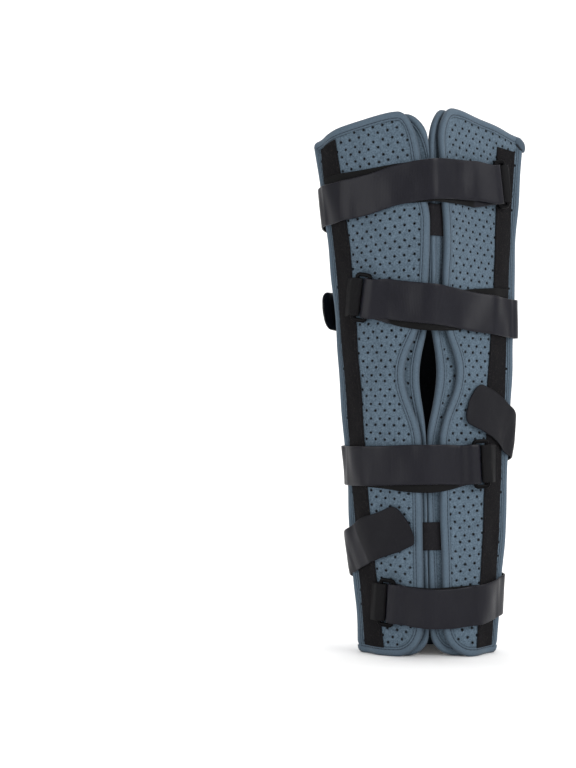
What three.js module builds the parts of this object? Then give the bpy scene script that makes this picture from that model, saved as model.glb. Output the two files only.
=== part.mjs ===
// Knee immobiliser: a padded full leg brace that wraps the leg from mid thigh to mid calf.
// A perforated foam wrap closes round the leg with its slit in front. Two outer side panels, each with
// a black stay strip, sit on the wrap, and four webbing straps run through plastic rings to close it.
// Millimetres, +Z up, -Y is the front. The brace stands on its lower rim at z = 0.

import * as THREE from 'three';

// Driving dimensions
const HEIGHT = 524;             // lower rim to the highest front peak
const STRIP_WIDTH = 27;         // stay strip
const BACK_MARGIN = 12;         // stay strip to the back edge of its side panel
const PANEL_FOLDS = [0.4, 0.65];  // where each front panel bends, as shares of its width from the slit
const BINDING_WIDTH = 8;
const STRAP_WIDTH = 38;
const STRAP_THICKNESS = 1.5;
const CLEARANCE = 0.3;          // between pieces that touch on the real brace
const SEAM = 0.5;               // between a wall's own edge and its binding
const FOOT_SHIFT = new THREE.Vector3(10.9, 5.4, 0);   // centres the brace over the origin

// Rounded free end of a strap: the share of its width that is left so far on from its last row
const STRAP_TIP = [{ on: 5, share: 0.93 }, { on: 9, share: 0.76 }, { on: 11, share: 0.5 }];

// Layers, as offsets from the outer face of the side panels. Negative is towards the leg.
const PANEL = { inner: -4.2, outer: 0 };
const PANEL_BINDING = { inner: -4.5, outer: 0.6 };
const STRIP = { inner: 0.3, outer: 1.5 };
const CLOSURE = { inner: -6.2, outer: -4.9 };
const WRAP = { inner: -10.2, outer: -7 };
const LINING = { inner: -11.4, outer: -10.5 };
const WRAP_BINDING = { inner: -11.9, outer: -6.5 };

// Cross-sections of the brace, one row for each height.
// slitX: sideways place of the front slit. panel: slit to stay strip, along the surface.
// turn: how far the right front panel turns back from the viewer's plane. depth: slit to back.
// leftFlare and rightFlare open the sides outwards from the stay strips on. Both and turn are in degrees.
// drift: how far to the right of the form's own slit line the edges of the panels meet.
const SECTIONS = [
  { z: 0, slitX: 0, panel: 45, turn: 14, depth: 102, leftFlare: 12, rightFlare: 0, drift: 1 },
  { z: 130, slitX: -2, panel: 57, turn: 21, depth: 116, leftFlare: 2, rightFlare: 3, drift: 1.5 },
  { z: 264, slitX: -2, panel: 67, turn: 30, depth: 132, leftFlare: 1, rightFlare: 6, drift: 1 },
  { z: 397, slitX: 3, panel: 83, turn: 43, depth: 149, leftFlare: 2, rightFlare: 2, drift: 3.8 },
  { z: HEIGHT, slitX: 0, panel: 97, turn: 46, depth: 166, leftFlare: 5, rightFlare: 12, drift: 4 },
];

// How far each stretch of wall turns back from the viewer's plane, in degrees, from the slit to the side.
// On the right the panel stretches add to the row's own turn.
const LEFT_TURNS = { slit: 6, middle: 10, ring: 20, stripFront: 52, stripBack: 64, margin: 50 };
const RIGHT_TURNS = { slit: 6, middle: 0, ring: -2, stripFront: 58, stripBack: 62, margin: 44 };
const BACK_HEADING = 78;        // of the back curve where it leaves the side panel's edge
const BACK_FACETS = 6;          // on each side, from the side panel's back edge to the middle of the back
const BACK_LEAN = 0.55;         // handle length of the back curve, as a share of its reach

// Stations are the corner lines of the form, counted from the slit.
const AT = { panelFold: 1, ringFlat: 2, stripFront: 3, stripMiddle: 4, stripBack: 5, panelBack: 6 };
const BACK = AT.panelBack + BACK_FACETS;
const STATIONS = 2 * BACK;

// Heights at which the walls are divided
const LEVELS = [-1, 30, 80, 130, 180, 210, 240, 268, 296, 326, 360, 400, 434, 466, HEIGHT + 1];

// Outlines: the front corners are quarter ellipses, and the knee cut-outs are smooth hollows in the edges.
// edge: distance from the slit, and above the upper strap edgeTop. cut: the hollow at the knee. Reach, drop
// and rise are radii of the corners.
const SIDE_CORNERS = { topDrop: 31, bottomReach: 28, bottomRise: 31, backRadius: 7 };
const SIDE_COMMON = { ...SIDE_CORNERS, cutMiddle: 272, cutHalf: 68 };
const SIDE_SHAPES = {
  left: { ...SIDE_COMMON, edge: 7.5, edgeTop: 14, topReach: 20.5, cutDepth: 17, peak: 518, backTop: 494 },
  right: { ...SIDE_COMMON, edge: 12.5, edgeTop: 7, topReach: 24, cutDepth: 19.5, peak: HEIGHT, backTop: 503 },
};
const WRAP_CORNERS = { edge: 0.5, edgeTop: 0.5, topDrop: 30, bottomReach: 27, bottomRise: 28 };
const WRAP_COMMON = { ...WRAP_CORNERS, cutMiddle: 268, cutHalf: 62, backMiddle: 482 };
const WRAP_SHAPES = {
  left: { ...WRAP_COMMON, topReach: 29, cutDepth: 10.5, peak: 516.5, backTop: 491 },
  right: { ...WRAP_COMMON, topReach: 25, cutDepth: 15, peak: 522.5, backTop: 495 },
};
const shapeOf = (shapes, side) => (side < 0 ? shapes.left : shapes.right);
const EDGE_CHANGE = [435, 480];  // heights between which a front edge runs over to its top place
const EDGE_STEPS = 22;          // points up each front edge
const CORNER_STEPS = 5;
const LEAST_RADIUS = 0.8;       // of a back corner drawn inside the finished outline
const STRIP_DROP = 2;           // from the binding down to the upper end of a stay strip

// Closure tabs bridge the slit, between the wrap and the side panels.
const CLOSURE_TABS = [
  { name: 'closure_tab_upper', middle: 417, height: 30, reach: 30 },
  { name: 'closure_tab_lower', middle: 116, height: 27, reach: 24 },
];

// Rings: rectangular plastic loops. Each stands on a webbing tab that is sewn to a stay strip.
const RING = { length: 47, width: 17, slot: 40, bar: 4, thickness: 3.4, corner: 3, lift: 2.7 };
const TAB_LENGTH = 15;          // from the seat on the strip to the middle of the ring
const TAB_WIDTH = 36;
// Webbing folded round a ring's bar. runOut: how far it runs on past the ring before it bends down to the
// surface, where its lower and its upper layer have come down by sinkUnder and sinkOver.
const FOLD = { middle: 4.4, radius: 3.1, offset: 5.5, steps: 6, runOut: 3, sinkUnder: 0.2, sinkOver: 0.1 };
const TAB_RUN_IN = 2.2;         // of a tab's lower layer, before it folds round the bar
const TAB_RUN_OUT = 0.4;        // of a tab's upper layer, past the ring
const TAB_STACK = 0.6;          // between a tab's two layers where they are sewn down
const TAB_OVER_EDGE = 0.4;      // more below a tab where it bends over the strip's front edge

// How straps lie on what carries them. seat: below a strap. between: two layers of a strap. onWrap: more
// below it behind the side panels. edge: how near a station's line counts as on it. drop: how far behind
// the side panels a strap is down on the wrap. Both are station counts.
const STACK = { seat: 0.45, between: 0.5, onWrap: 0.4, edge: 0.1, drop: 1.6 };
const SAME_ROW = 0.02;          // a row this near a station stands for it

// Straps. side: where the ring is, -1 left or 1 right. ringZ and ringSlope place the ring, and seat is how
// far behind the strip's front edge its tab is sewn. Stations count away from the ring's side through the
// slit. The far strip is at -3 to -5, the middle of the back at -12, and the ring's own strip at -19 to -21.
// under: the layer sewn to the far strip. over: the layer from the ring round to the free end. lift raises
// a row off the layers below it, and lean turns the strap's cross-line in its own plane, in degrees.
const STRAPS = [
  {
    name: 'thigh_strap_upper', side: 1, ringZ: 455, ringSlope: 4, seat: 16,
    under: [{ at: -4.8, z: 440 }, { at: -3, z: 443 }, { at: 0, z: 452 }, { at: 2, z: 450 }],
    over: [
      { at: 2, z: 456, lift: 2 }, { at: 0, z: 454 }, { at: -3, z: 436 }, { at: -6, z: 432 },
      { at: -9, z: 420 }, { at: -11.6, z: 409 },
    ],
  },
  {
    name: 'thigh_strap_lower', side: -1, ringZ: 344, ringSlope: 6, seat: 5,
    under: [{ at: -4.8, z: 335 }, { at: -3, z: 335 }, { at: 0, z: 331 }, { at: 1.6, z: 338 }],
    over: [
      { at: 1.6, z: 342 }, { at: 0, z: 337 }, { at: -3, z: 328 }, { at: -6, z: 325 },
      { at: -12, z: 328 }, { at: -16, z: 332 }, { at: -17.3, z: 333, lift: 8.5 },
    ],
  },
  {
    name: 'calf_strap_upper', side: 1, ringZ: 185, ringSlope: 1, seat: 8,
    under: [{ at: -4.8, z: 183 }, { at: -3, z: 182 }, { at: 0, z: 177 }, { at: 1.6, z: 182 }],
    over: [
      { at: 1.6, z: 184 }, { at: 0, z: 185 }, { at: -3, z: 183 }, { at: -6, z: 182 }, { at: -9, z: 184 },
      { at: -12, z: 189 }, { at: -15, z: 197, lift: 0.6 }, { at: -16, z: 201, lift: 1.4 },
      { at: -17, z: 206, lift: 4, lean: 4 }, { at: -18, z: 212, lift: 3, lean: 8 },
      { at: -19, z: 220, lift: 2.6, lean: 26 }, { at: -21, z: 236, lift: 2.2, lean: 28 },
      { at: -21.5, z: 241, lift: 2, lean: 28 },
    ],
  },
  {
    name: 'calf_strap_lower', side: -1, ringZ: 53, ringSlope: 5, seat: 5,
    under: [{ at: -4.8, z: 49 }, { at: -3, z: 48 }, { at: 0, z: 48 }, { at: 1.3, z: 50 }],
    over: [
      { at: 1.3, z: 50 }, { at: 0, z: 47 }, { at: -3, z: 46 }, { at: -6, z: 49 }, { at: -9, z: 57 },
      { at: -12, z: 68 }, { at: -15, z: 80, lift: 0.6 }, { at: -16, z: 85, lift: 1.2 },
      { at: -17, z: 91, lift: 3.4, lean: 8 }, { at: -18, z: 97, lift: 2.6, lean: 16 },
      { at: -19, z: 102, lift: 2.6, lean: 20 }, { at: -21, z: 114, lift: 3.2, lean: 23 },
      { at: -22.6, z: 125, lift: 2.6, lean: 23 },
    ],
  },
];

// Materials
const material = (color, roughness) => new THREE.MeshStandardMaterial({ color, roughness, metalness: 0 });
const FABRIC = material(0x586775, 0.85);
const BINDING = material(0x55667a, 0.8);
const LINING_CLOTH = material(0x0e0f12, 0.95);
const LOOP_CLOTH = material(0x27272b, 0.95);
const WEBBING = material(0x2f2f35, 0.6);
const PLASTIC = material(0x1a1a1d, 0.35);

// Value of one column of the section table at height z, on a smooth curve through the rows
function column(name, z) {
  const last = SECTIONS.length - 1;
  const found = SECTIONS.findIndex((row) => row.z > z) - 1;
  const i = found < -1 ? last - 1 : Math.max(found, 0);
  const row = (k) => SECTIONS[THREE.MathUtils.clamp(k, 0, last)];
  const slope = (k) => {
    const [a, b] = [row(k - 1), row(k + 1)];
    return (b[name] - a[name]) / (b.z - a.z);
  };
  const span = row(i + 1).z - row(i).z;
  const t = (z - row(i).z) / span;
  const [t2, t3] = [t * t, t * t * t];
  return (2 * t3 - 3 * t2 + 1) * row(i)[name] + (t3 - 2 * t2 + t) * span * slope(i)
    + (3 * t2 - 2 * t3) * row(i + 1)[name] + (t3 - t2) * span * slope(i + 1);
}

// Corner points of one side of the section, from the slit to the side panel's back edge
function sideWalk(side, z, start) {
  const turn = side < 0 ? LEFT_TURNS : RIGHT_TURNS;
  const base = side < 0 ? 0 : column('turn', z);
  const flare = column(side < 0 ? 'leftFlare' : 'rightFlare', z);
  const panel = column('panel', z);
  const [near, far] = PANEL_FOLDS;
  const stretches = [
    [panel * near, base + turn.slit],
    [panel * (far - near), base + turn.middle],
    [panel * (1 - far), base + turn.ring],
    [STRIP_WIDTH / 2, turn.stripFront - flare],
    [STRIP_WIDTH / 2, turn.stripBack - flare],
    [BACK_MARGIN, turn.margin - flare],
  ];
  const points = [start];
  for (const [length, angle] of stretches) {
    const a = THREE.MathUtils.degToRad(angle);
    const heading = new THREE.Vector2(side * Math.cos(a), Math.sin(a));
    points.push(points.at(-1).clone().addScaledVector(heading, length));
  }
  return points;
}

// The closed section at height z: its corner points, from the slit round by the left, and their offsets
function section(z) {
  const depth = column('depth', z);
  const slit = new THREE.Vector2(column('slitX', z), -depth / 2);
  const left = sideWalk(-1, z, slit);
  const right = sideWalk(1, z, slit);
  const back = new THREE.Vector2((left.at(-1).x + right.at(-1).x) / 2, depth / 2);
  const flare = 1 / Math.tan(THREE.MathUtils.degToRad(BACK_HEADING));
  const curve = (side, from) => {
    const rise = BACK_LEAN * (back.y - from.y);
    const run = BACK_LEAN * Math.abs(back.x - from.x);
    return new THREE.CubicBezierCurve(
      from,
      new THREE.Vector2(from.x + side * rise * flare, from.y + rise),
      new THREE.Vector2(back.x + side * run, back.y),
      back,
    ).getSpacedPoints(BACK_FACETS);
  };
  const points = [
    ...left, ...curve(-1, left.at(-1)).slice(1), ...curve(1, right.at(-1)).reverse().slice(1),
    ...right.reverse().slice(1, -1),
  ];
  const normals = points.map((p, i) => {
    const next = points[(i + 1) % STATIONS];
    return new THREE.Vector2(-(next.y - p.y), next.x - p.x).normalize();
  });
  const offsets = points.map((_, i) => {
    const [a, b] = [normals[(i + STATIONS - 1) % STATIONS], normals[i]];
    return a.clone().add(b).divideScalar(1 + a.dot(b));
  });
  return { points, offsets };
}

const sectionCache = new Map();
function sectionAt(z) {
  const key = z.toFixed(4);
  if (!sectionCache.has(key)) sectionCache.set(key, section(z));
  return sectionCache.get(key);
}

// A point of the form: station count, height and offset from the outer face of the side panels
function formPoint(at, z, offset) {
  const { points, offsets } = sectionAt(z);
  const corner = (i) => points[i].clone().addScaledVector(offsets[i], offset);
  const wrapped = ((at % STATIONS) + STATIONS) % STATIONS;
  const i = Math.floor(wrapped) % STATIONS;
  const p = corner(i).lerp(corner((i + 1) % STATIONS), wrapped - Math.floor(wrapped));
  return new THREE.Vector3(p.x, p.y, z);
}

// Distance along the form between two neighbouring stations
function stationStep(at, z) {
  const i = ((Math.floor(at) % STATIONS) + STATIONS) % STATIONS;
  const { points } = sectionAt(z);
  return points[i].distanceTo(points[(i + 1) % STATIONS]);
}

// The station that lies so far on from another along the form
function slide(at, z, distance) {
  const way = Math.sign(distance);
  let [from, rest] = [at, Math.abs(distance)];
  for (;;) {
    const corner = way > 0 ? Math.floor(from) + 1 : Math.ceil(from) - 1;
    const step = stationStep((from + corner) / 2, z);
    const room = Math.abs(corner - from) * step;
    if (rest <= room) return from + way * rest / step;
    rest -= room;
    from = corner;
  }
}

// Station count of a point that lies so far from the slit along one side
const stationOf = (side, distance, z) => -side * slide(0, z, -side * distance);

// Distance from the slit to a station, along one side
function distanceOf(side, count, z) {
  let distance = 0;
  for (let i = 0; i < count; i += 1) {
    distance += stationStep(side < 0 ? i : -i - 1, z) * Math.min(count - i, 1);
  }
  return distance;
}

// The flat station of a point on one side: the left counts up from the slit, and the right down to it
const onSide = (side, count) => (side < 0 ? count : STATIONS - count);

// A closed solid from indexed corner points, turned so that its faces point out
function solid(points, triangles) {
  const volume = triangles.reduce((sum, [a, b, c]) => (
    sum + points[a].dot(new THREE.Vector3().crossVectors(points[b], points[c]))), 0);
  const geometry = new THREE.BufferGeometry().setFromPoints(points);
  geometry.setIndex(triangles.flatMap(([a, b, c]) => (volume > 0 ? [a, b, c] : [a, c, b])));
  geometry.computeVertexNormals();
  return geometry;
}

// The part of a flat polygon on one side of a line of constant station or height
function clip(polygon, axis, limit, sign) {
  return polygon.flatMap((p, i) => {
    const q = polygon[(i + 1) % polygon.length];
    const [a, b] = [sign * (p[axis] - limit), sign * (q[axis] - limit)];
    const kept = a >= 0 ? [p] : [];
    if (a * b < 0) {
      const crossing = { at: p.at + (q.at - p.at) * a / (a - b), z: p.z + (q.z - p.z) * a / (a - b) };
      kept.push({ ...crossing, [axis]: limit });
    }
    return kept;
  });
}

// A flat pattern piece laid on the form as a wall. It is divided along the stations and the levels,
// so that every layer has its facets on the same lines and no two layers meet.
function wall(outline, layer) {
  const flat = [];
  const index = new Map();
  const corner = (p) => {
    const key = `${p.at.toFixed(5)},${p.z.toFixed(4)}`;
    if (!index.has(key)) {
      index.set(key, flat.length);
      flat.push(p);
    }
    return index.get(key);
  };
  const faces = [];
  const stations = outline.map((p) => p.at);
  for (let j = 0; j + 1 < LEVELS.length; j += 1) {
    const course = clip(clip(outline, 'z', LEVELS[j], 1), 'z', LEVELS[j + 1], -1);
    for (let k = Math.floor(Math.min(...stations)); k < Math.max(...stations); k += 1) {
      const cell = clip(clip(course, 'at', k, 1), 'at', k + 1, -1)
        .filter((p, i, all) => corner(p) !== corner(all[(i + 1) % all.length]));
      if (cell.length < 3) continue;
      const contour = cell.map((p) => new THREE.Vector2(p.at * BINDING_WIDTH, p.z));
      if (Math.abs(THREE.ShapeUtils.area(contour)) < 1e-6) continue;
      const turned = THREE.ShapeUtils.isClockWise(contour) ? [...cell].reverse() : cell;
      const turnedContour = turned.map((p) => new THREE.Vector2(p.at * BINDING_WIDTH, p.z));
      for (const triangle of THREE.ShapeUtils.triangulateShape(turnedContour, [])) {
        faces.push(triangle.map((i) => corner(turned[i])));
      }
    }
  }
  const used = [...new Set(faces.flat())];
  const place = new Map(used.map((i, k) => [i, k]));
  const count = used.length;
  const points = [layer.outer, layer.inner].flatMap((offset) => (
    used.map((i) => formPoint(flat[i].at, flat[i].z, offset))));
  const outer = faces.map((face) => face.map((i) => place.get(i)));
  const edges = new Set(outer.flatMap(([a, b, c]) => [`${a},${b}`, `${b},${c}`, `${c},${a}`]));
  const rims = [...edges].map((edge) => edge.split(',').map(Number))
    .filter(([a, b]) => !edges.has(`${b},${a}`));
  return solid(points, [
    ...outer,
    ...outer.map(([a, b, c]) => [a + count, c + count, b + count]),
    ...rims.flatMap(([a, b]) => [[b, a, a + count], [b, a + count, b + count]]),
  ]);
}

// Binding tape round the edge of a panel: a flat bead between the finished outline and the wall's own edge
function binding(finished, inside, layer) {
  const middle = (layer.inner + layer.outer) / 2;
  const half = (layer.outer - layer.inner) / 2;
  const rounded = [[0, -0.5], [0, 0.5], [0.3, 1], [1, 1], [1, -1], [0.3, -1]];
  const ring = rounded.length;
  const points = finished.flatMap((p, i) => rounded.map(([share, height]) => formPoint(
    THREE.MathUtils.lerp(p.at, inside[i].at, share),
    THREE.MathUtils.lerp(p.z, inside[i].z, share),
    middle + half * height,
  )));
  const triangles = finished.flatMap((_, i) => rounded.flatMap((__, k) => {
    const next = (i + 1) % finished.length;
    const [a, b] = [i * ring + k, i * ring + ((k + 1) % ring)];
    const [c, d] = [next * ring + k, next * ring + ((k + 1) % ring)];
    return [[a, c, b], [b, c, d]];
  }));
  return solid(points, triangles);
}

// Front edge of a panel: its distance from the slit at height z, with the hollow at the knee
function frontEdge(shape, z) {
  const t = THREE.MathUtils.clamp((z - shape.cutMiddle) / shape.cutHalf, -1, 1);
  const change = THREE.MathUtils.smoothstep(z, ...EDGE_CHANGE);
  const edge = THREE.MathUtils.lerp(shape.edge, shape.edgeTop, change);
  return edge + shape.cutDepth * Math.cos(Math.PI * t / 2) ** 2;
}

// Where the round top and bottom corners of a panel end, as station counts
const peakCount = (side, shape) => (
  stationOf(side, shape.edgeTop + shape.topReach + side * column('drift', shape.peak), shape.peak));
const footCount = (side, shape, z) => (
  stationOf(side, shape.edge + shape.bottomReach + side * column('drift', z), z));

// Points up one front edge of a panel with its two round corners, from the bottom edge to the top edge.
// inset draws the outline that far inside the finished one.
function frontRun(side, shape, inset) {
  const run = [];
  const add = (distance, z) => {
    run.push({ at: onSide(side, stationOf(side, distance + side * column('drift', z), z)), z });
  };
  const corner = (k) => Math.PI / 2 * k / CORNER_STEPS;
  for (let k = 0; k < CORNER_STEPS; k += 1) {
    add(
      shape.edge + shape.bottomReach - (shape.bottomReach - inset) * Math.sin(corner(k)),
      shape.bottomRise - (shape.bottomRise - inset) * Math.cos(corner(k)),
    );
  }
  const top = shape.peak - shape.topDrop;
  for (let k = 0; k <= EDGE_STEPS; k += 1) {
    const z = THREE.MathUtils.lerp(shape.bottomRise, top, k / EDGE_STEPS);
    add(frontEdge(shape, z) + inset, z);
  }
  for (let k = 1; k <= CORNER_STEPS; k += 1) {
    add(
      shape.edgeTop + shape.topReach - (shape.topReach - inset) * Math.cos(corner(k)),
      top + (shape.topDrop - inset) * Math.sin(corner(k)),
    );
  }
  return run;
}

// Height of a panel's top edge, which falls from the front peak to the back edge of the side panels
function topEdge(shape, side, count, inset) {
  const peakAt = shape.edgeTop + shape.topReach + side * column('drift', shape.peak);
  const past = (station) => distanceOf(side, station, shape.backTop) - peakAt;
  return THREE.MathUtils.lerp(shape.peak, shape.backTop, past(count) / past(AT.panelBack)) - inset;
}

// Outline of a side panel, counted from its front bottom corner
function sideOutline(side, inset) {
  const shape = shapeOf(SIDE_SHAPES, side);
  const run = frontRun(side, shape, inset);
  const back = AT.panelBack - inset / BACK_MARGIN;
  const radius = Math.max(shape.backRadius - inset, LEAST_RADIUS);
  const top = [AT.panelFold, AT.ringFlat, AT.stripFront, AT.stripMiddle, AT.stripBack]
    .filter((count) => count > peakCount(side, shape))
    .map((count) => ({ at: onSide(side, count), z: topEdge(shape, side, count, inset) }));
  const round = (along, down, edge) => {
    const count = back - radius * along / BACK_MARGIN;
    return { at: onSide(side, count), z: edge(count) + down * radius };
  };
  const high = (count) => topEdge(shape, side, count, inset);
  const low = () => inset;
  const bevel = 1 - Math.SQRT1_2;
  const backRun = [
    round(1, 0, high), round(bevel, -bevel, high), round(0, -1, high),
    ...LEVELS.slice(2, -2).reverse().map((z) => ({ at: onSide(side, back), z })),
    round(0, 1, low), round(bevel, bevel, low), round(1, 0, low),
  ];
  const bottom = [AT.stripBack, AT.stripMiddle, AT.stripFront, AT.ringFlat, AT.panelFold]
    .filter((count) => count > footCount(side, shape, inset))
    .map((count) => ({ at: onSide(side, count), z: inset }));
  return [...run, ...top, ...backRun, ...bottom];
}

// Outline of the wrap: up its left front edge, round by the back along the top, and back along the bottom
function wrapOutline(inset) {
  const [left, right] = [WRAP_SHAPES.left, WRAP_SHAPES.right];
  const topOn = (side, count) => {
    const shape = shapeOf(WRAP_SHAPES, side);
    const fall = (count - AT.panelBack) / BACK_FACETS;
    const z = fall <= 0 ? topEdge(shape, side, count, inset)
      : THREE.MathUtils.lerp(shape.backTop, shape.backMiddle, fall * (2 - fall)) - inset;
    return { at: onSide(side, count), z };
  };
  const counts = Array.from({ length: BACK - 1 }, (_, i) => i + 1);
  const topCounts = (side) => counts.filter((c) => c > peakCount(side, shapeOf(WRAP_SHAPES, side)));
  const bottomCounts = (side) => counts.filter((c) => c > footCount(side, shapeOf(WRAP_SHAPES, side), inset));
  return [
    ...frontRun(-1, left, inset),
    ...topCounts(-1).map((c) => topOn(-1, c)),
    topOn(-1, BACK),
    ...topCounts(1).reverse().map((c) => topOn(1, c)),
    ...frontRun(1, right, inset).reverse(),
    ...bottomCounts(1).map((c) => ({ at: onSide(1, c), z: inset })),
    { at: BACK, z: inset },
    ...bottomCounts(-1).reverse().map((c) => ({ at: onSide(-1, c), z: inset })),
  ];
}

// A plain rectangle of cloth between two station counts of one side
function stripOutline(side) {
  const low = BINDING_WIDTH + CLEARANCE;
  const high = (count) => topEdge(shapeOf(SIDE_SHAPES, side), side, count, low) - STRIP_DROP;
  const counts = [AT.stripFront, AT.stripMiddle, AT.stripBack];
  return [
    ...counts.map((count) => ({ at: onSide(side, count), z: high(count) })),
    ...[...counts].reverse().map((count) => ({ at: onSide(side, count), z: low })),
  ];
}

// A closure tab: a rectangle across the slit. Stations run on through it, so the right side is below zero.
function closureOutline({ middle, height, reach }) {
  const left = stationOf(-1, reach, middle);
  const right = -stationOf(1, reach, middle);
  const [low, high] = [middle - height / 2, middle + height / 2];
  return [{ at: right, z: low }, { at: left, z: low }, { at: left, z: high }, { at: right, z: high }];
}

// A band of webbing through cross-sections of four corners: outer top, outer bottom, inner bottom, inner top.
// A twisted stretch is divided along its outward diagonal, so that layers on each other stay apart.
function band(crossSections) {
  const points = crossSections.flat();
  const last = points.length - 4;
  const reach = (p, q) => Math.hypot(points[p].x + points[q].x, points[p].y + points[q].y);
  const triangles = [[0, 1, 2], [0, 2, 3], [last, last + 2, last + 1], [last, last + 3, last + 2]];
  for (let i = 0; i < last; i += 4) {
    for (let k = 0; k < 4; k += 1) {
      const [a, b] = [i + k, i + ((k + 1) % 4)];
      const [c, d] = [a + 4, b + 4];
      if (reach(b, c) > reach(a, d)) triangles.push([a, c, b], [b, c, d]);
      else triangles.push([a, c, d], [a, d, b]);
    }
  }
  return solid(points, triangles);
}

// Cross-section of a strap on the form. count runs as in the strap tables, and lean turns the cross-line.
function formSection(side, { at, z, lean = 0 }, middle, width) {
  const angle = THREE.MathUtils.degToRad(lean);
  const corner = (across, through) => {
    const reach = across * width / 2;
    const place = slide(-side * at, z, -side * reach * Math.sin(angle));
    return formPoint(place, z + reach * Math.cos(angle), middle + through * STRAP_THICKNESS / 2);
  };
  return [corner(1, 1), corner(-1, 1), corner(-1, -1), corner(1, -1)];
}

// The rows of a strap's run, with a row added at every station between them
function everyStation(rows) {
  return rows.flatMap((row, i) => {
    const next = rows[i + 1];
    if (!next) return [row];
    const low = Math.min(row.at, next.at);
    const high = Math.max(row.at, next.at);
    const between = [];
    for (let k = Math.ceil(low + SAME_ROW); k < high - SAME_ROW; k += 1) {
      const share = (k - row.at) / (next.at - row.at);
      const mix = (name) => THREE.MathUtils.lerp(row[name] ?? 0, next[name] ?? 0, share);
      between.push({ at: k, z: mix('z'), lift: mix('lift'), lean: mix('lean') });
    }
    return [row, ...(next.at < row.at ? between.reverse() : between)];
  });
}

// Height of a strap's middle above the side panels' face: on the strips, on the panels, or on the wrap behind
function restingHeight(at, layer) {
  const seat = STRAP_THICKNESS / 2 + STACK.seat;
  const onItself = at > -AT.stripBack - STACK.edge;
  const stacked = onItself ? layer * (STRAP_THICKNESS + STACK.between) : 0;
  const count = Math.abs(at) > BACK ? STATIONS - Math.abs(at) : Math.abs(at);
  if (count > AT.panelBack - STACK.edge) {
    const drop = THREE.MathUtils.clamp((count - AT.panelBack - STACK.edge) / STACK.drop, 0, 1);
    return THREE.MathUtils.lerp(PANEL_BINDING.outer, WRAP.outer + STACK.onWrap, drop) + seat;
  }
  const onStrip = count > AT.stripFront - STACK.edge && count < AT.stripBack + STACK.edge;
  return (onStrip ? STRIP.outer : PANEL_BINDING.outer) + seat + stacked;
}

// The frame of a ring: x towards the slit, y up along the strip, z out from the surface.
// Its origin lies on the strip's outer face, or higher where the strip's front edge stands in its way.
function ringFrame({ side, ringZ, ringSlope, seat }) {
  const distance = column('panel', ringZ) + seat - TAB_LENGTH;
  const place = (d, z) => formPoint(-side * stationOf(side, d, z), z, STRIP.outer);
  const origin = place(distance, ringZ);
  const stripEdge = place(column('panel', ringZ), ringZ);
  const [near, far] = [distance - RING.width / 2, distance + RING.width / 2];
  const towardSlit = place(near, ringZ).sub(place(far, ringZ)).normalize();
  const up = place(distance, ringZ + RING.slot / 2).sub(place(distance, ringZ - RING.slot / 2)).normalize();
  const out = new THREE.Vector3().crossVectors(towardSlit, up).normalize().multiplyScalar(-side);
  origin.addScaledVector(out, Math.max(stripEdge.sub(origin).dot(out), 0));
  up.applyAxisAngle(out, THREE.MathUtils.degToRad(ringSlope * side));
  const along = new THREE.Vector3().crossVectors(up, out).multiplyScalar(-side);
  return { origin, along, up, out };
}

// Cross-section of webbing in a ring's frame: a along it, c out from it, turned by angle round a bar
function ringSection(frame, a, c, angle, width) {
  const corner = (across, through) => frame.origin.clone()
    .addScaledVector(frame.along, a + through * Math.sin(angle) * STRAP_THICKNESS / 2)
    .addScaledVector(frame.out, c + through * Math.cos(angle) * STRAP_THICKNESS / 2)
    .addScaledVector(frame.up, across * width / 2);
  return [corner(1, 1), corner(-1, 1), corner(-1, -1), corner(1, -1)];
}

// Webbing folded round a bar, from its underside to its top. direction is 1 for the bar on the slit's side.
function fold(frame, direction, width) {
  return Array.from({ length: FOLD.steps + 1 }, (_, k) => {
    const angle = Math.PI * (1 - k / FOLD.steps);
    const a = direction * (FOLD.offset - FOLD.radius * Math.sin(angle));
    return ringSection(frame, a, FOLD.middle + FOLD.radius * Math.cos(angle), -direction * angle, width);
  });
}

// A strap: sewn to the far strip, across the slit to its ring, folded back over itself and on round the leg
function strap(entry, frame) {
  const rows = (run, layer) => everyStation(run).map((row) => (
    formSection(entry.side, row, restingHeight(row.at, layer) + (row.lift ?? 0), STRAP_WIDTH)));
  const reach = RING.width / 2 + FOLD.runOut;
  const low = FOLD.middle - FOLD.radius;
  const high = FOLD.middle + FOLD.radius;
  const turned = (corners) => [corners[3], corners[2], corners[1], corners[0]];
  const end = entry.over.at(-1);
  const slope = THREE.MathUtils.degToRad(end.lean ?? 0);
  const { side } = entry;
  const beyond = (on) => -side * slide(-side * end.at, end.z, side * on * Math.cos(slope));
  const tip = STRAP_TIP.map(({ on, share }) => formSection(
    side,
    { ...end, at: beyond(on), z: end.z + on * Math.sin(slope) },
    restingHeight(end.at, 1) + (end.lift ?? 0),
    STRAP_WIDTH * share,
  ));
  return band([
    ...rows(entry.under, 0).map(turned),
    turned(ringSection(frame, reach, low - FOLD.sinkUnder, 0, STRAP_WIDTH)),
    ...fold(frame, 1, STRAP_WIDTH),
    ringSection(frame, reach, high - FOLD.sinkOver, 0, STRAP_WIDTH),
    ...rows(entry.over, 1),
    ...tip,
  ]);
}

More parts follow.
